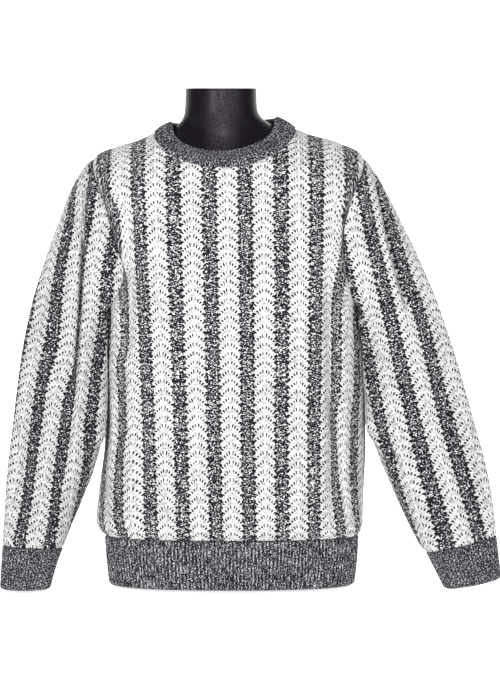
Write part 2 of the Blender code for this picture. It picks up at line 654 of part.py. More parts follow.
def sleeve(name, hand):
    """A set-in sleeve, from the armhole seam to the cuff seam."""
    table = SLEEVE_LEFT if hand < 0 else SLEEVE_RIGHT
    folds = SLEEVE_FOLDS_LEFT if hand < 0 else SLEEVE_FOLDS_RIGHT
    seam, outward = armhole_seam(hand, side_heights(hand))
    count = len(seam)
    lengths = [0.0]
    for i in range(count):
        lengths.append(lengths[-1] + (seam[(i + 1) % count] - seam[i]).length)
    half = count // 2
    angles = []
    for i in range(count):
        if i <= half:
            angles.append(math.pi * lengths[i] / lengths[half])
        else:
            rest = (lengths[i] - lengths[half]) / (lengths[count] - lengths[half])
            angles.append(math.pi * (1 + rest))

    def ellipse(share, relief):
        centre, out, wide, deep = sleeve_section(table, share)
        ring = []
        for angle in angles:
            push = sleeve_relief(folds, math.degrees(angle), share) if relief else 0.0
            ring.append(centre + out * (wide + push) * math.cos(angle)
                        + Vector((0.0, -(deep + push) * math.sin(angle), 0.0)))
        return ring

    start = ellipse(0.0, False)
    rows = []
    for share in SLEEVE_SHARES:
        fade = (1 - min(share / ARMHOLE_SHARE, 1.0)) ** ARMHOLE_FADE
        ring = []
        for k, p in enumerate(ellipse(share, True)):
            point = p + (seam[k] - start[k]) * fade
            below = ease((UNDERARM + UNDERARM_ROLL - point.z) / UNDERARM_ROLL)
            if share > 0 and below > 0:
                edge = body_edge(point.y, min(point.z, UNDERARM), hand)
                clear = SLEEVE_CLEARANCE_TOP + SLEEVE_CLEARANCE * ease(share / 0.08)
                limit = edge + hand * clear
                gain = max(hand * (limit - point.x), 0.0)
                point.x += hand * gain * below
            ring.append(point)
        rows.append(ring)

    normals = grid_normals(rows, True)
    middle = len(rows) // 2
    centre = sleeve_section(table, SLEEVE_SHARES[middle])[0]
    sign = 1 if (rows[middle][0] - centre).dot(normals[middle][0]) > 0 else -1
    inner = [[p - normals[r][c] * sign * WALL for c, p in enumerate(row)]
             for r, row in enumerate(rows)]
    gap = Vector((hand * SEAM_GAP / 2, 0.0, 0.0))
    rows[0] = [p + gap for p in seam]
    inner[0] = [p - d * WALL + gap for p, d in zip(seam, outward)]
    centre, out, _, _ = sleeve_section(table, 1.0)
    axis = out.cross(Vector((0.0, 1.0, 0.0))).normalized()
    for row in (rows[-1], inner[-1]):
        for p in row:
            p -= axis * (p - centre).dot(axis)
    return wall(name, rows, inner, True, WHITE_KNIT)


def cuff(name, hand):
    """A ribbed cuff below the sleeve."""
    table = CUFF_LEFT if hand < 0 else CUFF_RIGHT
    _, out, wide, deep = sleeve_section(table, 0.5)
    girth = 2 * math.pi * math.sqrt((wide ** 2 + deep ** 2) / 2)
    ribs = RIBS_PER_INNER_STEP * round(girth / RIB_PITCH / RIBS_PER_INNER_STEP)
    lining = RIB_INSET + WALL
    outer, inner = [], []
    for share in CUFF_SHARES:
        centre, out, wide, deep = sleeve_section(table, share)
        if share == 0.0:
            down = out.cross(Vector((0.0, 1.0, 0.0))).normalized()
            down *= -1 if down.z > 0 else 1
            centre += down * SEAM_GAP
        ring = []
        for k in range(2 * ribs):
            angle = math.pi * k / ribs
            rib = RIB_HEIGHT * (k % 2) - RIB_INSET
            ring.append(centre + out * (wide + rib) * math.cos(angle)
                        + Vector((0.0, -(deep + rib) * math.sin(angle), 0.0)))
        outer.append(ring)
        plain = []
        for k in range(2 * ribs // (2 * RIBS_PER_INNER_STEP)):
            angle = math.pi * k * 2 * RIBS_PER_INNER_STEP / ribs
            plain.append(centre + out * (wide - lining) * math.cos(angle)
                         + Vector((0.0, -(deep - lining) * math.sin(angle), 0.0)))
        inner.append(plain)
    return ribbed_wall(name, outer, inner, MARL_GREY)


def oval(row_table, z, angle, roundness, inset):
    """A point of a body-like section: angle 0 is the viewer's left, 90 degrees the front."""
    left, right = read(row_table, "z", "left", z), read(row_table, "z", "right", z)
    middle, half = (left + right) / 2, (right - left) / 2 - inset
    c, s = -math.cos(angle), math.sin(angle)
    deep = read(row_table, "z", "front" if s > 0 else "back", z) - inset
    power = 2 / roundness
    x = middle + half * math.copysign(abs(c) ** power, c)
    return Vector((x, -deep * math.copysign(abs(s) ** power, s), z))


def even_oval(row_table, z, count, roundness, inset):
    """The same section with its points evenly spaced along it."""
    fine = [oval(row_table, z, 2 * math.pi * k / SECTION_SAMPLES, roundness, inset)
            for k in range(SECTION_SAMPLES + 1)]
    return evenly_spaced(fine, count)[:-1]


def hem_band():
    """The ribbed band around the bottom of the body."""
    girth_ring = even_oval(HEM, HEM[1].z, 180, ROUNDNESS, 0.0)
    girth = sum((b - a).length for a, b in zip(girth_ring, girth_ring[1:] + girth_ring[:1]))
    step = 2 * RIBS_PER_INNER_STEP
    ribs = RIBS_PER_INNER_STEP * round(girth / RIB_PITCH / RIBS_PER_INNER_STEP)
    outer, inner = [], []
    for row in HEM:
        valley = even_oval(HEM, row.z, 2 * ribs, ROUNDNESS, RIB_INSET)
        crest = even_oval(HEM, row.z, 2 * ribs, ROUNDNESS, RIB_INSET - RIB_HEIGHT)
        outer.append([crest[k] if k % 2 else valley[k] for k in range(2 * ribs)])
        plain = even_oval(HEM, row.z, 2 * ribs, ROUNDNESS, RIB_INSET + WALL)
        inner.append(plain[::step])
    return ribbed_wall("hem_band", outer, inner, MARL_GREY)


def neckband():
    """The thick ribbed collar: a folded band that rises from the neck seam to a round edge."""
    seam, rises, outward, edges = neck_seam()
    count = len(seam)
    fine = 2 * RIBS_PER_NECK_STEP
    widths = [(collar_top(i) - seam[i]).dot(rises[i]) for i in range(count)]
    outer = [[] for _ in range(len(COLLAR) + 1)]
    for i in range(count):
        j = (i + 1) % count
        for k in range(fine):
            t = k / fine
            rise = rises[i].lerp(rises[j], t)
            out = outward[i].lerp(outward[j], t)
            foot = seam[i].lerp(seam[j], t) + rise * NECK_SEAM_GAP / 2
            width = widths[i] + (widths[j] - widths[i]) * t
            rib = RIB_HEIGHT * (k % 2)
            for points, row in zip(outer, COLLAR):
                proud = row.proud + (rib if row.ribbed else 0.0)
                points.append(foot + rise * width * row.share + out * proud)
            outer[-1].append(foot + rise * (width + COLLAR_EDGE + rib / 2) - out * RIB_HEIGHT)
    inner = [[seam[i] + rises[i] * NECK_SEAM_GAP / 2 - edges[i] * WALL for i in range(count)]]
    for share in (0.5, 1.0):
        inner.append([seam[i] + rises[i] * (NECK_SEAM_GAP / 2 + widths[i] * share)
                      - outward[i] * COLLAR_INSIDE for i in range(count)])
    return ribbed_wall("neckband", outer, inner, MARL_GREY)


def dress_form():
    """The smooth limbless form: hips, waist, chest, shoulder ends and neck."""
    rings = []
    for z in FORM_HEIGHTS:
        roundness = read(FORM, "z", "roundness", z)
        rings.append([oval(FORM, z, 2 * math.pi * k / FORM_STEPS, roundness, 0.0)
                      for k in range(FORM_STEPS)])
    for inset in (0.0, FORM_NECK_EDGE):
        ring = []
        for k in range(FORM_STEPS):
            p = oval(FORM, FORM[-1].z, 2 * math.pi * k / FORM_STEPS, FORM[-1].roundness, inset)
            p.z = FORM_NECK_TOP + FORM_NECK_SLOPE * p.y - (FORM_NECK_EDGE - inset)
            ring.append(p)
        rings.append(ring)
    bm = bmesh.new()
    rows = [[bm.verts.new(p) for p in ring] for ring in rings]
    for lower, upper in zip(rows, rows[1:]):
        band(bm, lower, upper, True)
    bm.faces.new(list(reversed(rows[0])))
    bm.faces.new(rows[-1])
    return finish("dress_form", bm, FORM_BLACK, 0.25)


def clear_scene():
    for obj in list(bpy.data.objects):
        bpy.data.objects.remove(obj, do_unlink=True)


def main():
    clear_scene()
    collection = bpy.data.collections.new(COLLECTION_NAME)
    bpy.context.scene.collection.children.link(collection)
    dress_form()
    body_panel("front", -1)
    body_panel("back", 1)
    sleeve("sleeve_left", -1)
    sleeve("sleeve_right", 1)
    cuff("cuff_left", -1)
    cuff("cuff_right", 1)
    hem_band()
    neckband()


main()
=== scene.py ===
"""Looks of a striped crewneck sweater on a black dress form.

Metres, +Z up, -Y the front. +X is to the viewer's right, and left and right are the viewer's.
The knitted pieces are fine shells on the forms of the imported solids. Each carries a UV map
named "knit": how many stripe repeats lie between a point and a stripe's middle, and how high
it lies along the knitting. The stitches, scallops and colours are all drawn from that map.
"""
import math
from collections import namedtuple

import bpy
import numpy as np
from bpy.props import FloatProperty, FloatVectorProperty, PointerProperty
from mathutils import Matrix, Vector


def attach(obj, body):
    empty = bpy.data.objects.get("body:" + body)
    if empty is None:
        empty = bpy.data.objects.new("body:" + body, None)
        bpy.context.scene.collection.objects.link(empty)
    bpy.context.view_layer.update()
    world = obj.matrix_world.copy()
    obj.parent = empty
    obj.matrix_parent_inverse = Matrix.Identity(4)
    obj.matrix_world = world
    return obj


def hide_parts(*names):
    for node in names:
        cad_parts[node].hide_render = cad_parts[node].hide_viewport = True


bl_info = {
    "name": "Striped crewneck sweater",
    "version": (1, 0, 0),
    "blender": (4, 5, 0),
    "location": "3D View > Sidebar > Sweater",
    "description": "Builds a striped crewneck sweater on a dress form around its packed solids",
    "category": "Object",
}

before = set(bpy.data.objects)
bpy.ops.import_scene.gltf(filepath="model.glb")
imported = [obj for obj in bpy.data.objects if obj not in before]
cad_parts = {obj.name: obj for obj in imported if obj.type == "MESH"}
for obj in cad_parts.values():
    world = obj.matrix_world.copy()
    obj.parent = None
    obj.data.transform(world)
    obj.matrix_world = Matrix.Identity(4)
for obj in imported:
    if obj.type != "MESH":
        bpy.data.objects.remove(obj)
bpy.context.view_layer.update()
BODY_NAME = "root"

# --- the garment's sizes, as the solids have them

WALL = 0.003
SEAM_GAP = 0.0004
SEAM_GROOVE = 0.0011        # how deep the cloth sinks beside a seam
SEAM_REACH = 0.006
NECK_SEAM_GAP = 0.0008
RIB_PITCH = 0.0054
RIB_HEIGHT = 0.0012
RIB_INSET = 0.001
RIB_FULLNESS = 0.7          # 1 gives even waves, less gives broad ribs and narrow grooves
BAND_LIP = 0.04             # the share of a band's height over which its ends round in
ROUNDNESS = 2.5

HEM_TOP = 0.0785
UNDERARM = 0.425
SHOULDER_ROUND_FRONT = 0.090
SHOULDER_ROUND_BACK = 0.080
NECK_MIDDLE = -0.0075
NECK_HALF_WIDTH = 0.109
NECK_DROP_FRONT = 0.064
NECK_DROP_BACK = 0.012
NECK_FULLNESS = 1.15
SLEEVE_CLEARANCE = 0.0035
SLEEVE_CLEARANCE_TOP = 0.0006
SLEEVE_CLEARANCE_SHARE = 0.08
UNDERARM_ROLL = 0.030       # the height above the underarm over which a sleeve nears the body
ARMHOLE_SHARE = 0.40        # the share of a sleeve over which it turns from armhole to oval
ARMHOLE_FADE = 2.2          # how fast it does so at the top
ARMHOLE_MIDDLE = 0.54       # the height at which its depth is taken
SHOULDER_STEPS = 5          # the shoulder seam is as long as this many stations of the neck
CUFF_DEPTH = 0.066          # heights of the cuffs and the collar, for the map of their stitches
COLLAR_DEPTH = 0.031

BodyRow = namedtuple("BodyRow", "z left right front back")
BODY = [
    BodyRow(0.0785, -0.1930, 0.1985, 0.1220, 0.1150),
    BodyRow(0.0920, -0.2035, 0.2040, 0.1300, 0.1220),
    BodyRow(0.1070, -0.2060, 0.2055, 0.1335, 0.1255),
    BodyRow(0.1370, -0.2030, 0.2065, 0.1340, 0.1270),
    BodyRow(0.1700, -0.1990, 0.2080, 0.1330, 0.1265),
    BodyRow(0.2140, -0.1935, 0.2100, 0.1310, 0.1250),
    BodyRow(0.3000, -0.1905, 0.2085, 0.1290, 0.1240),
    BodyRow(0.3800, -0.1905, 0.2040, 0.1290, 0.1250),
    BodyRow(0.4250, -0.1905, 0.2015, 0.1300, 0.1265),
    BodyRow(0.4800, -0.2000, 0.2120, 0.1300, 0.1280),
    BodyRow(0.5770, -0.2250, 0.2280, 0.1200, 0.1230),
    BodyRow(0.6400, -0.2480, 0.2480, 0.1110, 0.1120),
    BodyRow(0.7200, -0.2600, 0.2600, 0.1040, 0.0980),
]

ShoulderRow = namedtuple("ShoulderRow", "x z")
SHOULDER = [
    ShoulderRow(-0.2110, 0.6595),
    ShoulderRow(-0.2040, 0.6660),
    ShoulderRow(-0.1945, 0.6712),
    ShoulderRow(-0.1780, 0.6765),
    ShoulderRow(-0.1426, 0.6872),
    ShoulderRow(-0.1165, 0.6980),
    ShoulderRow(-0.0600, 0.7110),
    ShoulderRow(0.0000, 0.7145),
    ShoulderRow(0.0600, 0.7125),
    ShoulderRow(0.1015, 0.7035),
    ShoulderRow(0.1287, 0.6947),
    ShoulderRow(0.1488, 0.6895),
    ShoulderRow(0.1705, 0.6823),
    ShoulderRow(0.1907, 0.6746),
    ShoulderRow(0.1990, 0.6695),
    ShoulderRow(0.2065, 0.6605),
]

ArmholeRow = namedtuple("ArmholeRow", "z left right back_extra")
ARMHOLE = [
    ArmholeRow(0.4250, -0.1905, 0.2015, 0.000),
    ArmholeRow(0.4290, -0.1835, 0.1950, 0.002),
    ArmholeRow(0.4370, -0.1755, 0.1885, 0.004),
    ArmholeRow(0.4520, -0.1655, 0.1815, 0.006),
    ArmholeRow(0.4820, -0.1580, 0.1765, 0.008),
    ArmholeRow(0.5180, -0.1700, 0.1715, 0.009),
    ArmholeRow(0.5500, -0.1790, 0.1735, 0.009),
    ArmholeRow(0.5850, -0.1890, 0.1830, 0.006),
    ArmholeRow(0.6100, -0.1990, 0.1920, 0.004),
    ArmholeRow(0.6300, -0.2065, 0.2005, 0.002),
    ArmholeRow(0.6500, -0.2105, 0.2065, 0.001),
    ArmholeRow(0.6605, -0.2110, 0.2065, 0.000),
]

# share runs from the armhole or the cuff seam to the far end
SectionRow = namedtuple("SectionRow", "share out_x out_z in_x in_z mid_y half_depth")
SLEEVE_LEFT = [
    SectionRow(0.000, -0.2110, 0.6595, -0.1930, 0.4250, 0.000, 0.086),
    SectionRow(0.032, -0.2280, 0.6420, -0.1940, 0.4190, -0.001, 0.085),
    SectionRow(0.080, -0.2445, 0.6120, -0.1945, 0.4096, -0.002, 0.083),
    SectionRow(0.143, -0.2590, 0.5750, -0.1945, 0.3963, -0.005, 0.080),
    SectionRow(0.219, -0.2750, 0.5300, -0.1945, 0.3782, -0.009, 0.076),
    SectionRow(0.304, -0.2890, 0.4800, -0.1950, 0.3558, -0.013, 0.072),
    SectionRow(0.397, -0.3030, 0.4250, -0.1950, 0.3281, -0.018, 0.068),
    SectionRow(0.499, -0.3140, 0.3650, -0.1950, 0.2943, -0.026, 0.065),
    SectionRow(0.601, -0.3212, 0.3050, -0.1955, 0.2566, -0.034, 0.063),
    SectionRow(0.703, -0.3268, 0.2450, -0.1985, 0.2147, -0.044, 0.061),
    SectionRow(0.796, -0.3325, 0.1900, -0.2095, 0.1724, -0.054, 0.057),
    SectionRow(0.881, -0.3370, 0.1400, -0.2263, 0.1306, -0.063, 0.052),
    SectionRow(0.952, -0.3405, 0.0980, -0.2411, 0.0926, -0.071, 0.047),
    SectionRow(1.000, -0.3424, 0.0699, -0.2514, 0.0655, -0.076, 0.042),
]
SLEEVE_RIGHT = [
    SectionRow(0.000, 0.2065, 0.6605, 0.2040, 0.4250, 0.000, 0.086),
    SectionRow(0.036, 0.2225, 0.6410, 0.2060, 0.4173, -0.001, 0.085),
    SectionRow(0.084, 0.2385, 0.6120, 0.2075, 0.4068, -0.002, 0.083),
    SectionRow(0.149, 0.2575, 0.5750, 0.2090, 0.3917, -0.005, 0.080),
    SectionRow(0.227, 0.2800, 0.5300, 0.2105, 0.3716, -0.009, 0.076),
    SectionRow(0.314, 0.3000, 0.4800, 0.2120, 0.3470, -0.013, 0.073),
    SectionRow(0.409, 0.3200, 0.4250, 0.2130, 0.3172, -0.018, 0.071),
    SectionRow(0.513, 0.3390, 0.3650, 0.2135, 0.2811, -0.026, 0.070),
    SectionRow(0.618, 0.3555, 0.3050, 0.2160, 0.2412, -0.034, 0.069),
    SectionRow(0.722, 0.3710, 0.2450, 0.2294, 0.1974, -0.044, 0.066),
    SectionRow(0.817, 0.3850, 0.1900, 0.2479, 0.1535, -0.054, 0.062),
    SectionRow(0.904, 0.3955, 0.1400, 0.2665, 0.1103, -0.063, 0.057),
    SectionRow(0.965, 0.4010, 0.1020, 0.2845, 0.0745, -0.070, 0.051),
    SectionRow(1.000, 0.4030, 0.0847, 0.2967, 0.0581, -0.073, 0.046),
]
CUFF_LEFT = [
    SectionRow(0.0, -0.3424, 0.0699, -0.2514, 0.0655, -0.0760, 0.0415),
    SectionRow(0.5, -0.3440, 0.0370, -0.2620, 0.0345, -0.0810, 0.0385),
    SectionRow(1.0, -0.3454, 0.0045, -0.2700, 0.0040, -0.0850, 0.0360),
]
CUFF_RIGHT = [
    SectionRow(0.0, 0.4030, 0.0847, 0.2967, 0.0581, -0.0730, 0.0455),
    SectionRow(0.5, 0.4060, 0.0530, 0.3105, 0.0310, -0.0790, 0.0425),
    SectionRow(1.0, 0.4089, 0.0212, 0.3238, 0.0040, -0.0850, 0.0400),
]

HemRow = namedtuple("HemRow", "z left right front back")
HEM = [
    HemRow(0.0040, -0.1868, 0.1925, 0.1165, 0.1100),
    HemRow(0.0400, -0.1905, 0.1965, 0.1195, 0.1130),
    HemRow(0.0781, -0.1935, 0.1990, 0.1215, 0.1150),
]

COLLAR_TOP_MIDDLE = -0.0093
COLLAR_TOP_HALF_WIDTH = 0.0830
COLLAR_TOP_LEFT = 0.7150
COLLAR_TOP_RIGHT = 0.7225
COLLAR_TOP_DROP_FRONT = 0.0570
COLLAR_TOP_DROP_BACK = -0.0020
COLLAR_TOP_FRONT = 0.0830
COLLAR_TOP_BACK = 0.0620
COLLAR_INSIDE = 0.0034
COLLAR_EDGE = 0.0022
COLLAR_EDGE_FROM = 0.85
COLLAR_RIBS_START = 0.08    # shares of the collar over which its ribs start and end
COLLAR_RIBS_END = 0.12
NECK_STATIONS_FRONT = 16
NECK_STATIONS_BACK = 12
RIBS_PER_STATION = 4

# Across the collar from its seam, step by step: share of its width, how far it stands out
CollarRow = namedtuple("CollarRow", "step share proud")
COLLAR = [
    CollarRow(0, 0.00, 0.0000),
    CollarRow(1, 0.08, 0.0022),
    CollarRow(2, 0.22, 0.0032),
    CollarRow(3, 0.45, 0.0037),
    CollarRow(4, 0.68, 0.0032),
    CollarRow(5, 0.86, 0.0022),
    CollarRow(6, 0.97, 0.0004),
    CollarRow(7, 1.02, -0.0016),
]

# Folds on a panel: a line from one place to another, half its width, how far it stands out
# of the cloth, and how much cloth the fold takes in
PanelFold = namedtuple("PanelFold", "x0 z0 x1 z1 width height hidden")
FRONT_FOLDS = [
    PanelFold(0.148, 0.500, 0.152, 0.110, 0.0072, -0.0130, 0.016),
    PanelFold(0.172, 0.440, 0.176, 0.120, 0.012, 0.0050, 0.000),
    PanelFold(-0.146, 0.500, -0.150, 0.350, 0.0068, -0.0125, 0.016),
    PanelFold(-0.160, 0.340, -0.172, 0.170, 0.0066, -0.0110, 0.003),
    PanelFold(-0.142, 0.230, -0.138, 0.088, 0.0120, 0.0030, -0.008),
    PanelFold(0.150, 0.290, 0.178, 0.092, 0.0058, -0.0070, 0.008),
    PanelFold(-0.168, 0.470, -0.120, 0.545, 0.011, 0.0045, 0.000),
    PanelFold(-0.176, 0.125, -0.150, 0.092, 0.010, 0.0050, 0.000),
    PanelFold(0.178, 0.480, 0.128, 0.560, 0.012, 0.0045, 0.000),
    PanelFold(-0.152, 0.590, -0.147, 0.500, 0.010, -0.0030, 0.010),
    PanelFold(-0.040, 0.125, 0.030, 0.105, 0.014, 0.0025, 0.000),
    PanelFold(0.095, 0.120, 0.150, 0.100, 0.012, 0.0035, 0.000),
    PanelFold(-0.186, 0.170, -0.184, 0.098, 0.006, -0.0060, 0.004),
    PanelFold(0.060, 0.420, 0.066, 0.200, 0.020, -0.0018, 0.000),
    PanelFold(-0.070, 0.360, -0.078, 0.140, 0.022, -0.0016, 0.000),
    PanelFold(-0.115, 0.640, -0.060, 0.585, 0.012, 0.0016, 0.000),
    PanelFold(0.105, 0.640, 0.060, 0.590, 0.012, 0.0016, 0.000),
]
BACK_FOLDS = [
    PanelFold(-0.128, 0.540, -0.120, 0.170, 0.011, -0.0090, 0.010),
    PanelFold(0.132, 0.520, 0.136, 0.140, 0.010, -0.0095, 0.010),
    PanelFold(-0.165, 0.450, -0.105, 0.570, 0.013, 0.0050, 0.000),
    PanelFold(0.172, 0.455, 0.118, 0.560, 0.012, 0.0050, 0.000),
    PanelFold(-0.060, 0.140, 0.050, 0.115, 0.016, 0.0035, 0.000),
    PanelFold(0.010, 0.420, 0.018, 0.240, 0.022, -0.0035, 0.000),
    PanelFold(-0.060, 0.330, -0.050, 0.160, 0.020, -0.0025, 0.000),
    PanelFold(0.075, 0.300, 0.066, 0.130, 0.018, -0.0025, 0.000),
]

# Folds along a sleeve: degrees around from the outer edge by way of the front, where along
# the sleeve they start and end, how early they turn (1 runs straight), half their width in
# degrees, height, and cloth taken in
SleeveFold = namedtuple("SleeveFold", "angle0 start angle1 end bend width height hidden")
SLEEVE_FOLDS_LEFT = [
    SleeveFold(24, 0.00, 114, 0.52, 3.0, 3.8, -0.0165, 0.020),
    SleeveFold(58, 0.10, 72, 0.58, 1.0, 16, 0.0030, 0.000),
    SleeveFold(23, 0.16, 21, 1.00, 1.0, 15, 0.0065, 0.000),
    SleeveFold(120, 0.58, 88, 0.88, 1.0, 15, -0.0050, 0.000),
    SleeveFold(40, 0.72, 62, 0.96, 1.0, 16, -0.0040, 0.000),
    SleeveFold(262, 0.10, 248, 0.60, 1.0, 13, -0.0085, 0.008),
    SleeveFold(300, 0.55, 270, 0.92, 1.0, 17, -0.0045, 0.000),
    SleeveFold(60, 0.90, 110, 0.99, 1.0, 16, 0.0025, 0.000),
    SleeveFold(318, 0.06, 306, 0.50, 1.5, 9, -0.0060, 0.000),
    SleeveFold(214, 0.30, 226, 0.78, 1.0, 10, -0.0055, 0.000),
]
SLEEVE_FOLDS_RIGHT = [
    SleeveFold(13, 0.00, 76, 0.34, 2.0, 3.6, -0.0155, 0.012),
    SleeveFold(104, 0.10, 112, 0.56, 1.0, 16, 0.0040, 0.000),
    SleeveFold(23, 0.20, 21, 1.00, 1.0, 15, 0.0065, 0.000),
    SleeveFold(158, 0.44, 139, 0.80, 1.4, 7.0, -0.0050, 0.000),
    SleeveFold(74, 0.56, 96, 0.90, 1.0, 15, -0.0045, 0.000),
    SleeveFold(38, 0.60, 48, 0.94, 1.0, 16, 0.0035, 0.000),
    SleeveFold(256, 0.08, 242, 0.58, 1.0, 13, -0.0085, 0.008),
    SleeveFold(292, 0.50, 268, 0.92, 1.0, 17, -0.0045, 0.000),
    SleeveFold(58, 0.90, 108, 0.99, 1.0, 16, 0.0025, 0.000),
    SleeveFold(322, 0.05, 300, 0.46, 1.6, 8, -0.0065, 0.000),
    SleeveFold(222, 0.34, 212, 0.80, 1.0, 11, -0.0050, 0.000),
]

# How far past its ends a fold fades out, and over how much, as shares of its length
PANEL_FOLD_PAST = 0.10
SLEEVE_FOLD_PAST = 0.05
FOLD_FADE = 0.30
FOLD_EDGE = 0.6             # the share of a fold's width over which it takes its cloth in
# How much of the cloth a sleeve fold lets go again near its end, from where and over how much
FOLD_RELEASE = 0.65
FOLD_RELEASE_FROM = 0.75
FOLD_RELEASE_OVER = 0.40

OUTER_EASE = 0.013          # cloth by which the white column on a sleeve's outer edge is wider
OUTER_ANGLE = 26
OUTER_SPREAD = 22
INNER_EASE = 0.007          # the same for the inner columns, in the lower sleeve
INNER_ANGLE = 122
INNER_SPREAD = 14
INNER_BELOW = 0.26
INNER_FADE = 0.07

# How each sleeve's inner front leans over the body's side: by how much, around which angle,
# and where along the sleeve it comes and goes
Lean = namedtuple("Lean", "reach angle width start end fade")
LEAN_LEFT = Lean(0.0155, 151, 17, 0.06, 0.74, 0.09)
LEAN_RIGHT = Lean(0.0155, 151, 17, 0.06, 0.71, 0.09)
LEAN_COMES = 0.10           # the share over which it comes; fade is the one over which it goes

# --- the stripes' layout

# The middle of the front's white middle column, and the width of one repeat of the stripes
StripeRow = namedtuple("StripeRow", "z middle repeat")
STRIPES = [
    StripeRow(0.08, 0.0060, 0.0492),
    StripeRow(0.25, 0.0025, 0.0502),
    StripeRow(0.37, 0.0010, 0.0518),
    StripeRow(0.50, -0.0015, 0.0532),
    StripeRow(0.70, -0.0045, 0.0540),
]

# Where the leading dark stripe lies on each sleeve's front, and the width of one repeat there
SleeveStripeRow = namedtuple("SleeveStripeRow", "z x repeat")
LEAD_STRIPE_LEFT = [
    SleeveStripeRow(0.07, -0.2745, 0.0480),
    SleeveStripeRow(0.10, -0.2690, 0.0475),
    SleeveStripeRow(0.20, -0.2575, 0.0465),
    SleeveStripeRow(0.30, -0.2458, 0.0462),
    SleeveStripeRow(0.40, -0.2353, 0.0490),
    SleeveStripeRow(0.47, -0.2310, 0.0475),
    SleeveStripeRow(0.53, -0.2210, 0.0480),
    SleeveStripeRow(0.60, -0.2090, 0.0500),
    SleeveStripeRow(0.67, -0.1960, 0.0500),
]
LEAD_STRIPE_RIGHT = [
    SleeveStripeRow(0.06, 0.3290, 0.0560),
    SleeveStripeRow(0.10, 0.3180, 0.0560),
    SleeveStripeRow(0.20, 0.2900, 0.0560),
    SleeveStripeRow(0.30, 0.2662, 0.0545),
    SleeveStripeRow(0.40, 0.2450, 0.0525),
    SleeveStripeRow(0.47, 0.2290, 0.0520),
    SleeveStripeRow(0.53, 0.2150, 0.0515),
    SleeveStripeRow(0.60, 0.2010, 0.0520),
    SleeveStripeRow(0.67, 0.1850, 0.0530),
]
LEAD_STRIPE = 0.5           # the map's value there, the middle of a dark stripe
TEXTURE_REPEAT = 0.054      # what one repeat measures for the yarn's flecks
STRAIGHT_FROM = 0.560       # above this the columns keep their width over the shoulders
STRAIGHT_OVER = 0.045
WHITE_HALF = 0.288          # half the white column, as a share of one repeat
COURSE = 0.00447            # height of one row of knitting
SCALLOP_PITCH = 3 * COURSE
SCALLOP_DROP = 0.0150       # how steeply a scallop falls to its feet
SCALLOP_ROUND = 0.36        # how round its crown is
PUFF_EDGE = 0.25            # the share of a white column's half over which its relief fades out
DASH_SPACING = 0.24         # between the dark dashes, as a share of half a white column
DASH_FAN = 47.0             # how fast the dashes spread outwards, for each metre down
EDGE_SOFT = 0.018           # over how much of a repeat white turns to marl
# How far in the white's edge lies, and how far rows, chance and a scallop's feet move it
EDGE_INSET = 0.020
EDGE_BEAT = 0.044
EDGE_JITTER = 0.07
EDGE_FOOT = 0.008
# How much darker the marl is than the yarn, and how much more so beside the white, from near
# to far past its edge, where every other row is let off
MARL_DARKER = 0.19
BORDER_DARKER = 0.66
BORDER_BEAT = 0.80
BORDER_NEAR = 0.025
BORDER_FAR = 0.105

# --- finishes

# Painted shade on the sleeves: how much darker the marl is than the body's, and what is left of
# the white's brightness, the left sleeve shaded more than the right
PaintedShade = namedtuple("PaintedShade", "darker white")
PAINTED_SHADE_BODY = PaintedShade(0.0, 1.0)
PAINTED_SHADE_LEFT = PaintedShade(0.15, 0.84)
PAINTED_SHADE_RIGHT = PaintedShade(0.08, 0.93)

# How much darker a band is than the hem band, and how strong the lines along its ribs are: the
# flecked lines and the painted shade in the grooves between ribs
RibTone = namedtuple("RibTone", "darker lined")
RIB_HEM = RibTone(0.0, 1.0)
RIB_SMALL = RibTone(0.020, 0.45)

CLOTH_SPECULAR = 0.10
CLOTH_SHEEN = 0.05
KNIT_ROUGHNESS = 0.92
KNIT_BUMP = 0.0008
RIB_ROUGHNESS = 0.93
RIB_BUMP = 0.0006
FORM_SPECULAR = 0.07
FORM_BUMP = 0.0010
PAINTED_HIGHLIGHT_MIDDLE = -0.012        # the painted highlight: a paler speckled strip down the front of the form
PAINTED_HIGHLIGHT_HALF = 0.036

# --- how finely the shells are divided

PANEL_COLUMNS = 280
PANEL_ROWS_LOW = 176
PANEL_ROWS_HIGH = 128
SLEEVE_COLUMNS = 288
SLEEVE_ROWS = 240
LINING_STEP = 4             # the inside has one cell for this many outside, each way
RIB_POINTS = 8
BAND_ROWS = 24
SEAM_POINTS = 16            # points on the neck seam for each of its stations
OVAL_POINTS = 1440
GIRTH_POINTS = 360
FINE_STEPS = 400
ARC_LEVELS = 160            # heights and places across at which the body's way around is measured
ARC_POINTS = 401
SLEEVE_LEVELS = 240         # heights at which the way around a sleeve is measured
LEVELS_BELOW = 0.01         # and how far past its lowest and highest points they reach
LEVELS_ABOVE = 0.001
TAIL_ROWS = 6               # rows that say which way a sleeve's column runs on past its end
START_SMOOTHING = 6         # levels on either side over which the leading stripe is smoothed
SLOPE_SMOOTHING = 40        # and steps on either side for its slope
EDGE_CROWDING = 0.55        # 0 spreads a panel's columns evenly, 1 crowds them to its sides
SPREAD_BY = 0.95            # the share of the way up by which they lie as on the shoulders
# About how far apart the shells' points lie, to fade the relief out at seams
PANEL_COLUMN = 0.0018
PANEL_ROW = 0.0019
SLEEVE_COLUMN = 0.0015
SLEEVE_ROW = 0.0025

# --- the studio

FLOOR_SIZE = 400.0
BACKDROP_SIZE = 40.0
BACKDROP_AWAY = 11.0        # far enough that the views from behind are taken in front of it
FLOOR_GLOW = 0.80
BACKDROP_GLOW = 1.1
CAMERA_X = 0.031
CAMERA_HEIGHT = 0.363
VIEW_HEIGHT = 1.085         # what the picture shows top to bottom in the form's middle plane
SENSOR_HEIGHT = 36.0

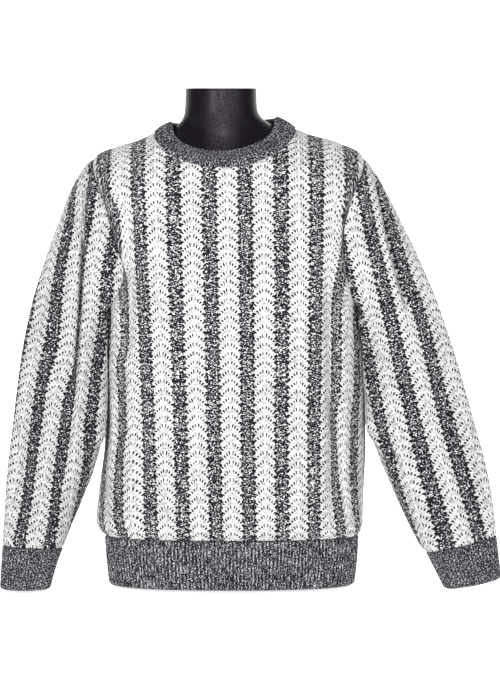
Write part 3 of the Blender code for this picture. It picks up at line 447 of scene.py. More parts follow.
# Soft lamps: where each stands, what it is aimed at, and its width and height
Lamp = namedtuple("Lamp", "name place aim width height")
LAMPS = [
    Lamp("key", (0.5, -2.8, 2.3), (0.0, 0.0, 0.40), 1.8, 1.8),
    Lamp("fill", (2.2, -2.2, 1.3), (0.0, 0.0, 0.38), 1.8, 1.8),
    Lamp("front", (0.02, -3.3, 1.35), (0.0, 0.0, 0.60), 0.5, 0.5),
    Lamp("strip", (-1.15, -2.75, 1.15), (0.0, 0.0, 0.72), 0.5, 1.3),
]

# --- the dress form's smoothing

MERGE_WITHIN = 0.00005
QUADS_WITHIN = math.radians(60)
SMOOTH_LEVELS = 2


class KnitSettings(bpy.types.PropertyGroup):
    """Relief and colours of the knitted cloth."""
    puff: FloatProperty(name="Puff", description="How far a white column swells out",
                        default=0.0010, unit="LENGTH")
    scallop: FloatProperty(name="Scallop", description="Height of the scalloped rows",
                           default=0.0004, unit="LENGTH")
    course: FloatProperty(name="Course", description="Height of the rows in the dark stripes",
                          default=0.0003, unit="LENGTH")
    white: FloatVectorProperty(name="White", description="Colour of the white yarn",
                               default=(0.735, 0.732, 0.727), subtype="COLOR")
    black: FloatVectorProperty(name="Black", description="Darkest yarn of the marl",
                               default=(0.008, 0.008, 0.011), subtype="COLOR")
    slate: FloatVectorProperty(name="Slate", description="Middle tone of the marl",
                               default=(0.155, 0.147, 0.182), subtype="COLOR")


class FormSettings(bpy.types.PropertyGroup):
    """Finish of the dress form."""
    colour: FloatVectorProperty(name="Colour", description="Colour of the form",
                                default=(0.0060, 0.0044, 0.0070), subtype="COLOR")
    # colour of the painted highlight, a paler strip down the form's front that stands in for its
    # gloss
    painted_highlight: FloatVectorProperty(name="Worn", description="Colour of the dust down its front",
                              default=(0.066, 0.056, 0.074), subtype="COLOR")
    gloss: FloatProperty(name="Roughness", description="Roughness of the form's surface",
                         default=0.28, min=0.0, max=1.0, subtype="FACTOR")


class StudioSettings(bpy.types.PropertyGroup):
    """Camera, lights and floor."""
    distance: FloatProperty(name="Camera distance", description="From the form's middle plane",
                            default=3.0, unit="LENGTH")
    key: FloatProperty(name="Key light", description="Power of the soft light above the camera",
                       default=14.0, unit="POWER")
    fill: FloatProperty(name="Fill light", description="Power of the soft light on the right",
                        default=12.0, unit="POWER")
    front: FloatProperty(name="Front light", description="Power of the light seen in the neck",
                         default=10.0, unit="POWER")
    strip: FloatProperty(name="Strip light", description="Power of the tall light on the left",
                         default=42.0, unit="POWER")
    ambient: FloatProperty(name="Surround", description="Strength of the white surroundings",
                           default=0.53, min=0.0, max=1.0, subtype="FACTOR")
    backdrop: FloatVectorProperty(name="Backdrop", description="Colour of the floor and backdrop",
                                  default=(0.93, 0.93, 0.93), subtype="COLOR")


# --- reading the tables

def read(rows, along, column, at):
    """Values of one named column at places along a table, on a smooth curve."""
    places = np.array([getattr(row, along) for row in rows])
    values = np.array([getattr(row, column) for row in rows])
    last = len(rows) - 1
    before = np.maximum(np.arange(last + 1) - 1, 0)
    after = np.minimum(np.arange(last + 1) + 1, last)
    slopes = (values[after] - values[before]) / (places[after] - places[before])
    at = np.clip(at, places[0], places[-1])
    k = np.clip(np.searchsorted(places, at, side="right") - 1, 0, last - 1)
    span = places[k + 1] - places[k]
    t = (at - places[k]) / span
    start = (1 + 2 * t) * (1 - t) ** 2 * values[k] + t * (1 - t) ** 2 * span * slopes[k]
    end = t * t * (3 - 2 * t) * values[k + 1] - t * t * (1 - t) * span * slopes[k + 1]
    return start + end


def ease(t):
    """0 to 1 with soft ends."""
    t = np.clip(t, 0.0, 1.0)
    return t * t * (3 - 2 * t)


def unit(vectors):
    """Vectors of the same directions, 1 long."""
    return vectors / np.maximum(np.linalg.norm(vectors, axis=-1, keepdims=True), 1e-12)


def lengths_along(points):
    """Distances from the first point along lines of points, on the second axis from last."""
    steps = np.linalg.norm(np.diff(points, axis=-2), axis=-1)
    return np.concatenate([np.zeros(steps.shape[:-1] + (1,)), np.cumsum(steps, axis=-1)], axis=-1)


# --- the body's surface

def shoulder_height(x):
    """Height of the shoulder seam, which runs on over the neck as a low arch."""
    return read(SHOULDER, "x", "z", x)


def fold_ends(share, past):
    """1 along a fold, fading to 0 a little past both its ends."""
    return ease((share + past) / FOLD_FADE) * ease((1 + past - share) / FOLD_FADE)


def smoothed(values, reach):
    """A running mean over some values on either side."""
    width = 2 * reach + 1
    return np.convolve(np.pad(values, reach, mode="edge"), np.ones(width) / width, mode="valid")


def panel_relief(folds, x, z):
    """How far the folds push the cloth out at places on a panel."""
    push = np.zeros_like(x)
    for fold in folds:
        run_x, run_z = fold.x1 - fold.x0, fold.z1 - fold.z0
        length = math.hypot(run_x, run_z)
        share = ((x - fold.x0) * run_x + (z - fold.z0) * run_z) / length ** 2
        side = np.abs(run_x * (z - fold.z0) - run_z * (x - fold.x0)) / length
        push += fold.height * np.exp(-(side / fold.width) ** 2) * fold_ends(share, PANEL_FOLD_PAST)
    return push


def body_depth(x, z, side, folds):
    """How far the surface stands out in front or behind; side is -1 front, 1 back."""
    left, right = read(BODY, "z", "left", z), read(BODY, "z", "right", z)
    middle, half = (left + right) / 2, (right - left) / 2
    reach = np.minimum(np.abs(x - middle) / half, 1.0)
    across = (1 - reach ** ROUNDNESS) ** (1 / ROUNDNESS)
    column, roll = (("front", SHOULDER_ROUND_FRONT) if side < 0 else
                    ("back", SHOULDER_ROUND_BACK))
    below = np.clip((shoulder_height(x) - z) / roll, 0.0, 1.0)
    over = np.sqrt(1 - (1 - below) ** 2)
    depth = read(BODY, "z", column, z) * across * over
    return depth + panel_relief(folds, x, z) * np.minimum(across * 1.5, 1.0) * over


def body_points(x, z, side, folds):
    """Points on the body's front or back."""
    return np.stack([x, side * body_depth(x, z, side, folds), z], axis=-1)


def body_edge(y, z, hand):
    """X of the body's side at a depth; hand is -1 on the left, 1 on the right."""
    left, right = read(BODY, "z", "left", z), read(BODY, "z", "right", z)
    deep = np.where(y < 0, read(BODY, "z", "front", z), read(BODY, "z", "back", z))
    reach = np.maximum(1 - np.minimum(np.abs(y) / deep, 1.0) ** ROUNDNESS, 0.0)
    return (left + right) / 2 + hand * (right - left) / 2 * reach ** (1 / ROUNDNESS)


def armhole_x(z, hand, side):
    """X of the armhole's seam, which lies a little further out behind."""
    x = read(ARMHOLE, "z", "left" if hand < 0 else "right", z)
    return x + hand * read(ARMHOLE, "z", "back_extra", z) * (side > 0)


def shoulder_tip(hand, side):
    """X and height of the place where the armhole meets the shoulder seam."""
    x = armhole_x(ARMHOLE[-1].z, hand, side)
    return x, shoulder_height(x)


def neckline(side, steps):
    """The neck seam on one panel from left to right, as evenly spaced points."""
    drop = NECK_DROP_FRONT if side < 0 else NECK_DROP_BACK
    turn = np.pi * np.linspace(0, 1, FINE_STEPS + 1)
    x = NECK_MIDDLE - NECK_HALF_WIDTH * np.cos(turn)
    low, high = shoulder_height(x[0]), shoulder_height(x[-1])
    line = low + (high - low) * (1 - np.cos(turn)) / 2
    z = line - drop * np.maximum(np.sin(turn), 0.0) ** NECK_FULLNESS
    fine = body_points(x, z, side, FRONT_FOLDS if side < 0 else BACK_FOLDS)
    fine[[0, -1], 1] = 0.0
    return resample(fine, steps)


def resample(line, steps):
    """Evenly spaced points along a fine line."""
    along = lengths_along(line)
    want = np.linspace(0, along[-1], steps + 1)
    return np.stack([np.interp(want, along, line[:, k]) for k in range(3)], axis=-1)


# --- the map of the knitting on the body

def body_arc(x, z, side):
    """Cloth between the middle plane x = 0 and a place, measured around at its height."""
    levels = np.linspace(HEM_TOP, BODY[-1].z, ARC_LEVELS)
    spread = np.sin(np.linspace(-np.pi / 2, np.pi / 2, ARC_POINTS))
    left, right = read(BODY, "z", "left", levels), read(BODY, "z", "right", levels)
    middle, half = (left + right) / 2, (right - left) / 2
    grid_x = middle[:, None] + half[:, None] * spread[None, :]
    grid_z = np.repeat(levels[:, None], len(spread), axis=1)
    rings = body_points(grid_x, grid_z, side, [])
    arcs = lengths_along(rings)
    for i, row in enumerate(arcs):
        arcs[i] = row - np.interp(0.0, grid_x[i], row)
    level = np.clip((z - levels[0]) / (levels[1] - levels[0]), 0, len(levels) - 1.001)
    i = level.astype(int)
    left, right = read(BODY, "z", "left", z), read(BODY, "z", "right", z)
    place = np.clip((x - (left + right) / 2) / ((right - left) / 2), -1, 1)
    j = (np.arcsin(place) / np.pi + 0.5) * (len(spread) - 1)
    j0 = np.minimum(j.astype(int), len(spread) - 2)
    u, v = level - i, j - j0
    low = arcs[i, j0] * (1 - v) + arcs[i, j0 + 1] * v
    high = arcs[i + 1, j0] * (1 - v) + arcs[i + 1, j0 + 1] * v
    return low * (1 - u) + high * u


def taken_in(folds, x, z):
    """Cloth that the folds between the middle and a place take in, with the place's sign."""
    hidden = np.zeros_like(x)
    for fold in folds:
        share = (z - fold.z0) / (fold.z1 - fold.z0)
        line = fold.x0 + (fold.x1 - fold.x0) * share
        hand = 1.0 if fold.x0 > 0 else -1.0
        past = 0.5 + 0.5 * np.tanh(hand * (x - line) / (FOLD_EDGE * fold.width))
        hidden += hand * fold.hidden * past * fold_ends(share, PANEL_FOLD_PAST)
    return hidden


def body_map(points, side, folds):
    """Stripe repeats from the middle, and height along the knitting, for a grid of points."""
    x, z = points[..., 0], points[..., 2]
    middle, repeat = read(STRIPES, "z", "middle", z), read(STRIPES, "z", "repeat", z)
    arc = body_arc(x, z, side) - body_arc(middle, z, side)
    over = ease((z - STRAIGHT_FROM) / STRAIGHT_OVER)
    arc = arc * (1 - over) + (x - middle) * over + taken_in(folds, x, z)
    plain = body_points(x, z, side, [])
    rise = np.hypot(np.diff(plain[..., 1], axis=0), np.diff(z, axis=0))
    height = z[:1] + np.concatenate([np.zeros_like(rise[:1]), np.cumsum(rise, axis=0)], axis=0)
    return arc / repeat, height


def knit_relief(across, height, look):
    """How far the scallops and rows stand out at places on the map."""
    near = across - np.round(across)
    a = np.minimum(np.abs(near) / WHITE_HALF, 1.0)
    inside = ease((1 - a) / PUFF_EDGE)
    drop = SCALLOP_DROP * (np.sqrt(a * a + SCALLOP_ROUND ** 2) - SCALLOP_ROUND)
    scallop = np.cos(2 * np.pi * ((height + drop) / SCALLOP_PITCH + 0.5))
    row = np.cos(2 * np.pi * height / COURSE)
    return (inside * (look.puff * (1 - a * a) + look.scallop * (scallop - 1) / 2)
            + (1 - inside) * look.course * (row - 1) / 2)


# --- meshes

def grid_normals(points, closed):
    """Unit normals of a grid of points, by its neighbours."""
    if closed:
        east = np.roll(points, -1, axis=1) - np.roll(points, 1, axis=1)
    else:
        east = np.gradient(points, axis=1)
    north = np.gradient(points, axis=0)
    return unit(np.cross(east, north))


def vertex_numbers(rows, columns, first, closed):
    """Numbers of a grid's vertices, with the first column again at the end where it closes."""
    number = first + np.arange(rows * columns).reshape(rows, columns)
    return np.concatenate([number, number[:, :1]], axis=1) if closed else number


def cells(grid, flip):
    """What a grid holds at the four corners of each cell, in order around it."""
    corners = np.stack([grid[:-1, :-1], grid[:-1, 1:], grid[1:, 1:], grid[1:, :-1]], axis=-1)
    corners = corners.reshape(-1, 4)
    return corners[:, ::-1] if flip else corners


def border_faces(fine, coarse, flip):
    """Faces that join the outside's edge to the lining's, which has fewer points."""
    faces = []
    for i in range(len(coarse) - 1):
        first = i * LINING_STEP
        face = [*fine[first:first + LINING_STEP + 1], coarse[i + 1], coarse[i]]
        faces.append(face[::-1] if flip else face)
    return faces


def shell(name, outer, inner, closed, knit_map, material, flip):
    """A wall of cloth: a fine outside, a coarse lining, joined along their edges.

    knit_map holds the map for the corners of the outside's faces, rows by columns.
    """
    rows, columns = outer.shape[:2]
    number = vertex_numbers(rows, columns, 0, closed)
    lining = vertex_numbers(*inner.shape[:2], rows * columns, closed)
    faces = cells(number, flip).tolist() + cells(lining, not flip).tolist()
    faces += border_faces(number[0], lining[0], not flip)
    faces += border_faces(number[-1], lining[-1], flip)
    if not closed:
        faces += border_faces(number[:, 0], lining[:, 0], flip)
        faces += border_faces(number[:, -1], lining[:, -1], not flip)
    vertices = np.concatenate([outer.reshape(-1, 3), inner.reshape(-1, 3)])
    mesh = bpy.data.meshes.new(name)
    mesh.from_pydata(vertices.tolist(), [], faces)
    mesh.validate()
    mesh.shade_smooth()
    lay_map(mesh, knit_map, columns, flip)
    mesh.materials.append(material)
    return show(name, mesh)


def lay_map(mesh, knit_map, columns, flip):
    """Writes the map to the mesh: the outside's own, and the nearest of it on the rest."""
    outside = np.stack([cells(value, flip).ravel() for value in knit_map], axis=-1)
    of_vertex = [np.concatenate([value[:, :columns].ravel(),
                                 value[::LINING_STEP, :columns:LINING_STEP].ravel()])
                 for value in knit_map]
    corners = np.zeros(len(mesh.loops), dtype=int)
    mesh.loops.foreach_get("vertex_index", corners)
    laid = np.stack(of_vertex, axis=-1)[corners]
    laid[:len(outside)] = outside
    layer = mesh.uv_layers.new(name="knit")
    layer.data.foreach_set("uv", laid.astype(np.float32).ravel())


def show(name, mesh):
    """Puts a mesh in the scene as an object."""
    obj = bpy.data.objects.new(name, mesh)
    bpy.context.scene.collection.objects.link(obj)
    return obj


# --- seams that two pieces share

def armhole_outward(points, hand):
    """Directions out of the armhole ring, the same for the panel and the sleeve."""
    _, top = shoulder_tip(hand, -1)
    tall, middle = (top - UNDERARM) / 2, (top + UNDERARM) / 2
    deep = read(BODY, "z", "front", ARMHOLE_MIDDLE)
    out = np.stack([np.zeros_like(points[..., 0]), points[..., 1] / deep ** 2,
                    (points[..., 2] - middle) / tall ** 2], axis=-1)
    return unit(out)


def collar_top(share, side):
    """The collar's round inner edge over one panel, from left to right."""
    turn = np.pi * share
    if side < 0:
        y, drop = -COLLAR_TOP_FRONT * np.sin(turn), COLLAR_TOP_DROP_FRONT
    else:
        y, drop = COLLAR_TOP_BACK * np.sin(turn), COLLAR_TOP_DROP_BACK
    z = COLLAR_TOP_LEFT + (COLLAR_TOP_RIGHT - COLLAR_TOP_LEFT) * (1 - np.cos(turn)) / 2
    return np.stack([COLLAR_TOP_MIDDLE - COLLAR_TOP_HALF_WIDTH * np.cos(turn), y,
                     z - drop * np.sin(turn)], axis=-1)


def neck_ring(per_station):
    """The neck ring from the left by way of the front, with points between its stations.

    Gives the seam's points, the directions up the collar and out of it, and its width.
    """
    front = neckline(-1, NECK_STATIONS_FRONT)
    back = neckline(1, NECK_STATIONS_BACK)[::-1]
    seam = np.concatenate([front, back[1:-1]])
    top_front = collar_top(np.linspace(0, 1, NECK_STATIONS_FRONT + 1), -1)
    top_back = collar_top(np.linspace(0, 1, NECK_STATIONS_BACK + 1), 1)[::-1]
    top = np.concatenate([top_front, top_back[1:-1]])
    seam, top = [between_stations(ring, per_station) for ring in (seam, top)]
    rise = top - seam
    along = np.roll(seam, -1, axis=0) - np.roll(seam, 1, axis=0)
    out = unit(np.cross(along, rise))
    rises = unit(np.cross(out, along))
    width = (rise * rises).sum(axis=-1)
    return seam, rises, out, width


def between_stations(ring, count):
    """A closed ring with more points between its stations, on a smooth curve."""
    t = (np.arange(count) / count)[None, :, None]
    p0, p1 = np.roll(ring, 1, axis=0)[:, None], ring[:, None]
    p2, p3 = np.roll(ring, -1, axis=0)[:, None], np.roll(ring, -2, axis=0)[:, None]
    curve = (2 * p1 + (p2 - p0) * t + (2 * p0 - 5 * p1 + 4 * p2 - p3) * t ** 2
             + (3 * p1 - p0 - 3 * p2 + p3) * t ** 3) / 2
    return curve.reshape(-1, 3)


# --- the knitted pieces

def panel_grid(side, folds):
    """The outside points of the front or back, row by row from the hem seam up."""
    stations = NECK_STATIONS_FRONT if side < 0 else NECK_STATIONS_BACK
    shoulder = SHOULDER_STEPS / (stations + 2 * SHOULDER_STEPS)
    s = np.linspace(0, 1, PANEL_COLUMNS + 1)
    neck = neckline(side, FINE_STEPS)
    left_tip, left_top = shoulder_tip(-1, side)
    right_tip, right_top = shoulder_tip(1, side)
    in_neck = np.clip((s - shoulder) / (1 - 2 * shoulder), 0, 1)
    left_part = s < shoulder
    right_part = s > 1 - shoulder
    top_x = np.interp(in_neck, np.linspace(0, 1, len(neck)), neck[:, 0])
    top_x = np.where(left_part, left_tip + (neck[0, 0] - left_tip) * s / shoulder, top_x)
    top_x = np.where(right_part, right_tip + (neck[-1, 0] - right_tip) * (1 - s) / shoulder, top_x)
    top_z = np.interp(in_neck, np.linspace(0, 1, len(neck)), neck[:, 2])
    top_z = np.where(left_part | right_part, shoulder_height(top_x), top_z)
    spread_top = (top_x - left_tip) / (right_tip - left_tip)
    evens = (1 - EDGE_CROWDING) * s + EDGE_CROWDING * (1 - np.cos(np.pi * s)) / 2

    # Below the armholes the rows are level
    z = np.linspace(HEM_TOP, UNDERARM, PANEL_ROWS_LOW + 1)[:-1, None] + np.zeros_like(s)
    left, right = read(BODY, "z", "left", z), read(BODY, "z", "right", z)
    low = body_points(left + (right - left) * evens, z, side, folds)

    # Above them each column runs up to its own place on the shoulder or the neck
    even = np.linspace(0, 1, FINE_STEPS + 1)[:, None]
    up = (np.sin(np.sqrt(even) * np.pi / 2) ** 2 + even) / 2
    left = armhole_x(UNDERARM + (left_top - UNDERARM) * up, -1, side)
    right = armhole_x(UNDERARM + (right_top - UNDERARM) * up, 1, side)
    spread = evens + (spread_top - evens) * ease(up / SPREAD_BY)
    x = left + (right - left) * spread
    high = body_points(x, UNDERARM + (top_z - UNDERARM) * up, side, folds)
    along = lengths_along(high.transpose(1, 0, 2))
    even_rows = np.linspace(0, 1, PANEL_ROWS_HIGH + 1)
    upper = np.empty((PANEL_ROWS_HIGH + 1, len(s), 3))
    for c in range(len(s)):
        want = even_rows * along[c, -1]
        for k in (0, 2):
            upper[:, c, k] = np.interp(want, along[c], high[:, c, k])
    upper = body_points(upper[..., 0], upper[..., 2], side, folds)
    return np.concatenate([low, upper]), shoulder


def seam_fade(first, second):
    """1 in the cloth and 0 at a seam, for distances from the seams along two axes."""
    return ease(first / SEAM_REACH)[:, None] * ease(second / SEAM_REACH)[None, :]


def from_ends(count):
    """How many steps each of a row of points lies from the nearer end."""
    return np.minimum(np.arange(count), np.arange(count)[::-1])


def make_panel(name, side, folds, look, material):
    """The front or back; side is -1 for the front and 1 for the back."""
    points, shoulder = panel_grid(side, folds)
    rows, columns = points.shape[:2]
    across, height = body_map(points, side, folds)
    normals = grid_normals(points, False)
    normals *= np.sign(normals[rows // 2, columns // 2, 1] * side)
    s = np.linspace(0, 1, columns)
    not_neck = (s <= shoulder) | (s >= 1 - shoulder)
    points[-1, not_neck, 1] = 0.0

    # The cut edges: where they are moved to, and which way their thickness runs
    thick = -normals * WALL
    thick[:PANEL_ROWS_LOW, 0] = (WALL, 0, 0)
    thick[:PANEL_ROWS_LOW, -1] = (-WALL, 0, 0)
    for c, hand in ((0, -1), (-1, 1)):
        edge = points[PANEL_ROWS_LOW:, c]
        thick[PANEL_ROWS_LOW:, c] = -armhole_outward(edge, hand) * WALL
        points[PANEL_ROWS_LOW:, c, 0] -= hand * SEAM_GAP / 2
    thick[0, :, 2] = 0.0
    seam, rises, out, _ = neck_ring(SEAM_POINTS)
    half = NECK_STATIONS_FRONT * SEAM_POINTS
    run = slice(0, half + 1) if side < 0 else slice(half, None)
    neck_columns = np.where(~not_neck)[0]
    near = np.abs(seam[run][None] - points[-1, neck_columns][:, None]).sum(axis=-1).argmin(axis=1)
    edge = unit(out[run][near] + normals[-1, neck_columns])
    points[-1, neck_columns] -= rises[run][near] * NECK_SEAM_GAP / 2
    thick[-1, neck_columns] = -edge * WALL

    inner = (points + thick)[::LINING_STEP, ::LINING_STEP]
    fade = seam_fade(from_ends(rows) * PANEL_ROW, from_ends(columns) * PANEL_COLUMN)
    relief = knit_relief(across, height, look) * fade - SEAM_GROOVE * (1 - fade) ** 3
    points = points + normals * relief[..., None]
    clear = SEAM_GAP / 2
    points[..., 1] = side * np.maximum(side * points[..., 1], clear)
    inner[..., 1] = side * np.maximum(side * inner[..., 1], clear)
    return shell(name, points, inner, False, (across, height), material, side > 0)


def section(rows, share):
    """Centre, outward direction and half sizes of sleeve or cuff sections."""
    out_x, out_z = read(rows, "share", "out_x", share), read(rows, "share", "out_z", share)
    in_x, in_z = read(rows, "share", "in_x", share), read(rows, "share", "in_z", share)
    centre = np.stack([(out_x + in_x) / 2, read(rows, "share", "mid_y", share),
                       (out_z + in_z) / 2], axis=-1)
    across = np.stack([out_x - in_x, np.zeros_like(out_x), out_z - in_z], axis=-1)
    half_width = np.linalg.norm(across, axis=-1) / 2
    return centre, unit(across), half_width, read(rows, "share", "half_depth", share)


def fold_angle(fold, along):
    """Where around the sleeve a fold lies, at a share of the fold's own length."""
    turned = 1 - (1 - np.clip(along, 0.0, 1.0)) ** fold.bend
    return fold.angle0 + (fold.angle1 - fold.angle0) * turned


def sleeve_relief(folds, degrees, share):
    """How far the folds push a sleeve out, at angles around it and shares along it."""
    push = np.zeros(np.broadcast(degrees, share).shape)
    for fold in folds:
        along = (share - fold.start) / (fold.end - fold.start)
        away = (degrees - fold_angle(fold, along) + 180) % 360 - 180
        ends = fold_ends(along, SLEEVE_FOLD_PAST)
        push += fold.height * np.exp(-(away / fold.width) ** 2) * ends
    return push


def armhole_ring(hand, count):
    """The armhole seam from the shoulder by way of the front, evenly spaced."""
    _, top = shoulder_tip(hand, -1)
    z = UNDERARM + (top - UNDERARM) * (1 - np.cos(np.linspace(0, np.pi, FINE_STEPS + 1))) / 2
    halves = []
    for side, folds in ((-1, FRONT_FOLDS), (1, BACK_FOLDS)):
        line = body_points(armhole_x(z, hand, side), z, side, folds)
        line[[0, -1], 1] = 0.0
        line = line[::-1] if side < 0 else line
        halves.append(resample(line, count // 2))
    return np.concatenate([halves[0][:-1], halves[1][:-1]])


def sleeve_grid(hand, table, folds, lean):
    """Outside points of a sleeve, row by row from the armhole to the cuff seam."""
    seam = armhole_ring(hand, SLEEVE_COLUMNS)
    angle = 2 * np.pi * np.arange(SLEEVE_COLUMNS) / SLEEVE_COLUMNS

    def ellipse(share, folded):
        """Rings at shares along the sleeve, with the folds when folded is 1."""
        centre, out, wide, deep = section(table, share)
        push = sleeve_relief(folds, np.degrees(angle)[None, :], share[:, None]) * folded
        x_part = ((wide[:, None] + push) * np.cos(angle))[..., None] * out[:, None, :]
        y_part = ((deep[:, None] + push) * np.sin(angle))[..., None] * np.array([0, -1, 0])
        return centre[:, None, :] + x_part + y_part

    # Rows lie evenly along the sleeve's front
    fine = np.linspace(0, 1, FINE_STEPS + 1)
    centre, out, wide, deep = section(table, fine)
    middle = centre + np.stack([np.zeros_like(deep), -deep, np.zeros_like(deep)], axis=-1)
    along = lengths_along(middle)
    share = np.interp(np.linspace(0, along[-1], SLEEVE_ROWS + 1), along, fine)
    fade = (1 - np.minimum(share / ARMHOLE_SHARE, 1.0)) ** ARMHOLE_FADE
    points = ellipse(share, 1.0)
    points += (seam - ellipse(np.zeros(1), 0.0)[0])[None] * fade[:, None, None]
    turned = (np.degrees(angle)[None, :] - lean.angle) / lean.width
    come = ease((share - lean.start) / LEAN_COMES) * ease((lean.end - share) / lean.fade)
    points[..., 0] -= hand * lean.reach * np.exp(-turned ** 2) * come[:, None]
    below = ease((UNDERARM + UNDERARM_ROLL - points[..., 2]) / UNDERARM_ROLL)
    edge = body_edge(points[..., 1], np.minimum(points[..., 2], UNDERARM), hand)
    clear = SLEEVE_CLEARANCE_TOP + SLEEVE_CLEARANCE * ease(share / SLEEVE_CLEARANCE_SHARE)
    gain = np.maximum(hand * (edge + hand * clear[:, None] - points[..., 0]), 0.0)
    gain[0] = 0.0
    points[..., 0] += hand * gain * below
    return points, share


def sleeve_around(points, at):
    """Cloth from the outer edge, forwards positive, at the heights of the points in at.

    Every column of the grid is cut at a set of heights and the cuts are joined around. Columns
    run on straight past their ends. The last column repeats the first, reached by the back.
    """
    columns = points.shape[1]
    half = columns // 2
    lowest, highest = points[..., 2].min() - LEVELS_BELOW, points[..., 2].max() + LEVELS_ABOVE
    levels = np.linspace(lowest, highest, SLEEVE_LEVELS)
    cuts = np.empty((SLEEVE_LEVELS, columns, 3))
    for c in range(columns):
        line = points[::-1, c]
        rising = np.maximum.accumulate(line[:, 2] + np.arange(len(line)) * 1e-9)
        tail = (line[0] - line[TAIL_ROWS]) / (rising[TAIL_ROWS] - rising[0])
        under = np.maximum(rising[0] - levels, 0.0)
        for k in (0, 1):
            cuts[:, c, k] = np.interp(levels, rising, line[:, k]) + tail[k] * under
        cuts[:, c, 2] = levels
    forward = lengths_along(cuts[:, :half + 1])
    behind = np.concatenate([cuts[:, :1], cuts[:, :half - 1:-1]], axis=1)
    backward = -lengths_along(behind)
    around = np.empty((SLEEVE_LEVELS, columns + 1))
    around[:, :half + 1] = forward
    around[:, columns - np.arange(1, half)] = backward[:, 1:half]
    around[:, columns] = 0.0
    laid = np.empty((points.shape[0], columns + 1))
    for c in range(columns + 1):
        laid[:, c] = np.interp(at[:, c % columns, 2], levels, around[:, c])
    return laid, levels, forward, cuts[:, :half + 1, 0]


def sleeve_map(points, share, hand, plain, folds, lead):
    """The map on a sleeve: around at each height from its leading stripe, and along it."""
    laid, levels, forward, forward_x = sleeve_around(plain, points)
    tops = points[0, :forward_x.shape[1], 2]
    lead_x = read(lead, "z", "x", levels)
    start = []
    for level, x_there, line, along in zip(levels, lead_x, forward_x, forward):
        lower = tops < level
        present = max(int(np.argmax(lower)) if lower.any() else len(tops), 2)
        line, along = hand * -line[:present], along[:present]
        beyond = max(hand * -x_there - line[-1], 0.0)
        start.append(np.interp(hand * -x_there, line, along) + beyond)
    start = smoothed(start, START_SMOOTHING)
    z = np.concatenate([points[..., 2], points[:, :1, 2]], axis=1)
    x = np.concatenate([points[..., 0], points[:, :1, 0]], axis=1)
    away = laid - np.interp(z, levels, start)

    # Cloth that the folds take in, on the side of each fold away from the leading stripe
    columns = points.shape[1]
    degrees = np.arange(columns + 1) * 360.0 / columns
    taken = np.zeros_like(away)
    for fold in folds:
        along = (share - fold.start) / (fold.end - fold.start)
        line = fold_angle(fold, along)[:, None]
        let_go = FOLD_RELEASE * ease((along - FOLD_RELEASE_FROM) / FOLD_RELEASE_OVER)
        kept = ease((along + SLEEVE_FOLD_PAST) / FOLD_FADE) * (1 - let_go)
        swallowed = fold.hidden * kept[:, None]
        past = np.tanh((degrees[None, :] - line) / (FOLD_EDGE * fold.width))
        if fold.angle0 < 90:
            taken -= swallowed * np.where(degrees < 180, 0.5 - 0.5 * past, 1.0)
        elif fold.angle0 < 180:
            taken += swallowed * (0.5 + 0.5 * past) * (degrees <= 180)
        else:
            taken -= swallowed * (0.5 - 0.5 * past) * (degrees > 180)

    outer = 0.5 - 0.5 * np.tanh((degrees - OUTER_ANGLE) / OUTER_SPREAD)
    taken += OUTER_EASE * np.where(degrees < 180, outer, 1.0)
    inner = (0.5 + 0.5 * np.tanh((degrees - INNER_ANGLE) / INNER_SPREAD)) * (degrees <= 180)
    taken -= INNER_EASE * inner * ease((INNER_BELOW - z) / INNER_FADE)
    away += taken

    # Rows of knitting lie square to the leading stripe
    fine = np.linspace(lead[0].z, lead[-1].z, FINE_STEPS)
    slope = smoothed(np.gradient(read(lead, "z", "x", fine), fine), SLOPE_SMOOTHING)
    climb = np.cumsum(np.hypot(1.0, slope)) * (fine[1] - fine[0])
    height = np.interp(z, fine, climb)
    lean = np.interp(z, fine, slope / np.hypot(1.0, slope))
    height += (x - read(lead, "z", "x", z)) * lean
    return LEAD_STRIPE + away / read(lead, "z", "repeat", z), height


def make_sleeve(name, hand, table, folds, lean, lead, look, material):
    """A sleeve; hand is -1 for the left one and 1 for the right."""
    points, share = sleeve_grid(hand, table, folds, lean)
    plain, _ = sleeve_grid(hand, table, [], lean)
    across, height = sleeve_map(points, share, hand, plain, folds, lead)
    normals = grid_normals(points, True)
    centre = section(table, np.array([0.5]))[0][0]
    middle = len(share) // 2
    normals *= np.sign(((points[middle, 0] - centre) * normals[middle, 0]).sum())
    thick = -normals * WALL
    thick[0] = -armhole_outward(points[0], hand) * WALL
    points[0, :, 0] += hand * SEAM_GAP / 2
    inner = (points + thick)[::LINING_STEP, ::LINING_STEP]
    from_underarm = np.abs(np.arange(points.shape[1]) - points.shape[1] // 2)
    fade = seam_fade(from_ends(len(share)) * SLEEVE_ROW, from_underarm * SLEEVE_COLUMN)
    relief = knit_relief(across[:, :-1], height[:, :-1], look) * fade
    relief -= SEAM_GROOVE * (1 - fade) ** 3
    points = points + normals * relief[..., None]
    centre, out, _, _ = section(table, np.array([1.0]))
    axis = unit(np.cross(out[0], (0.0, 1.0, 0.0)))
    for last in (points[-1], inner[-1]):
        last -= ((last - centre[0]) @ axis)[:, None] * axis
    return shell(name, points, inner, True, (across, height), material, hand > 0)


def rib_wave(columns):
    """Rounded ribs: 0 in a groove and 1 on a rib, around a band."""
    phase = np.arange(columns) / RIB_POINTS
    return (0.5 - 0.5 * np.cos(2 * np.pi * phase)) ** RIB_FULLNESS


def band_profile(rows):
    """Height along a band, and how far its ends are rounded in."""
    t = np.linspace(0, 1, rows)
    lip = np.minimum(t, 1 - t) / BAND_LIP
    return t, np.sqrt(1 - (1 - np.clip(lip, 0, 1)) ** 2)


def rib_count(girth):
    """Ribs that go around a band, a multiple of four."""
    return 4 * round(float(girth) / RIB_PITCH / 4)


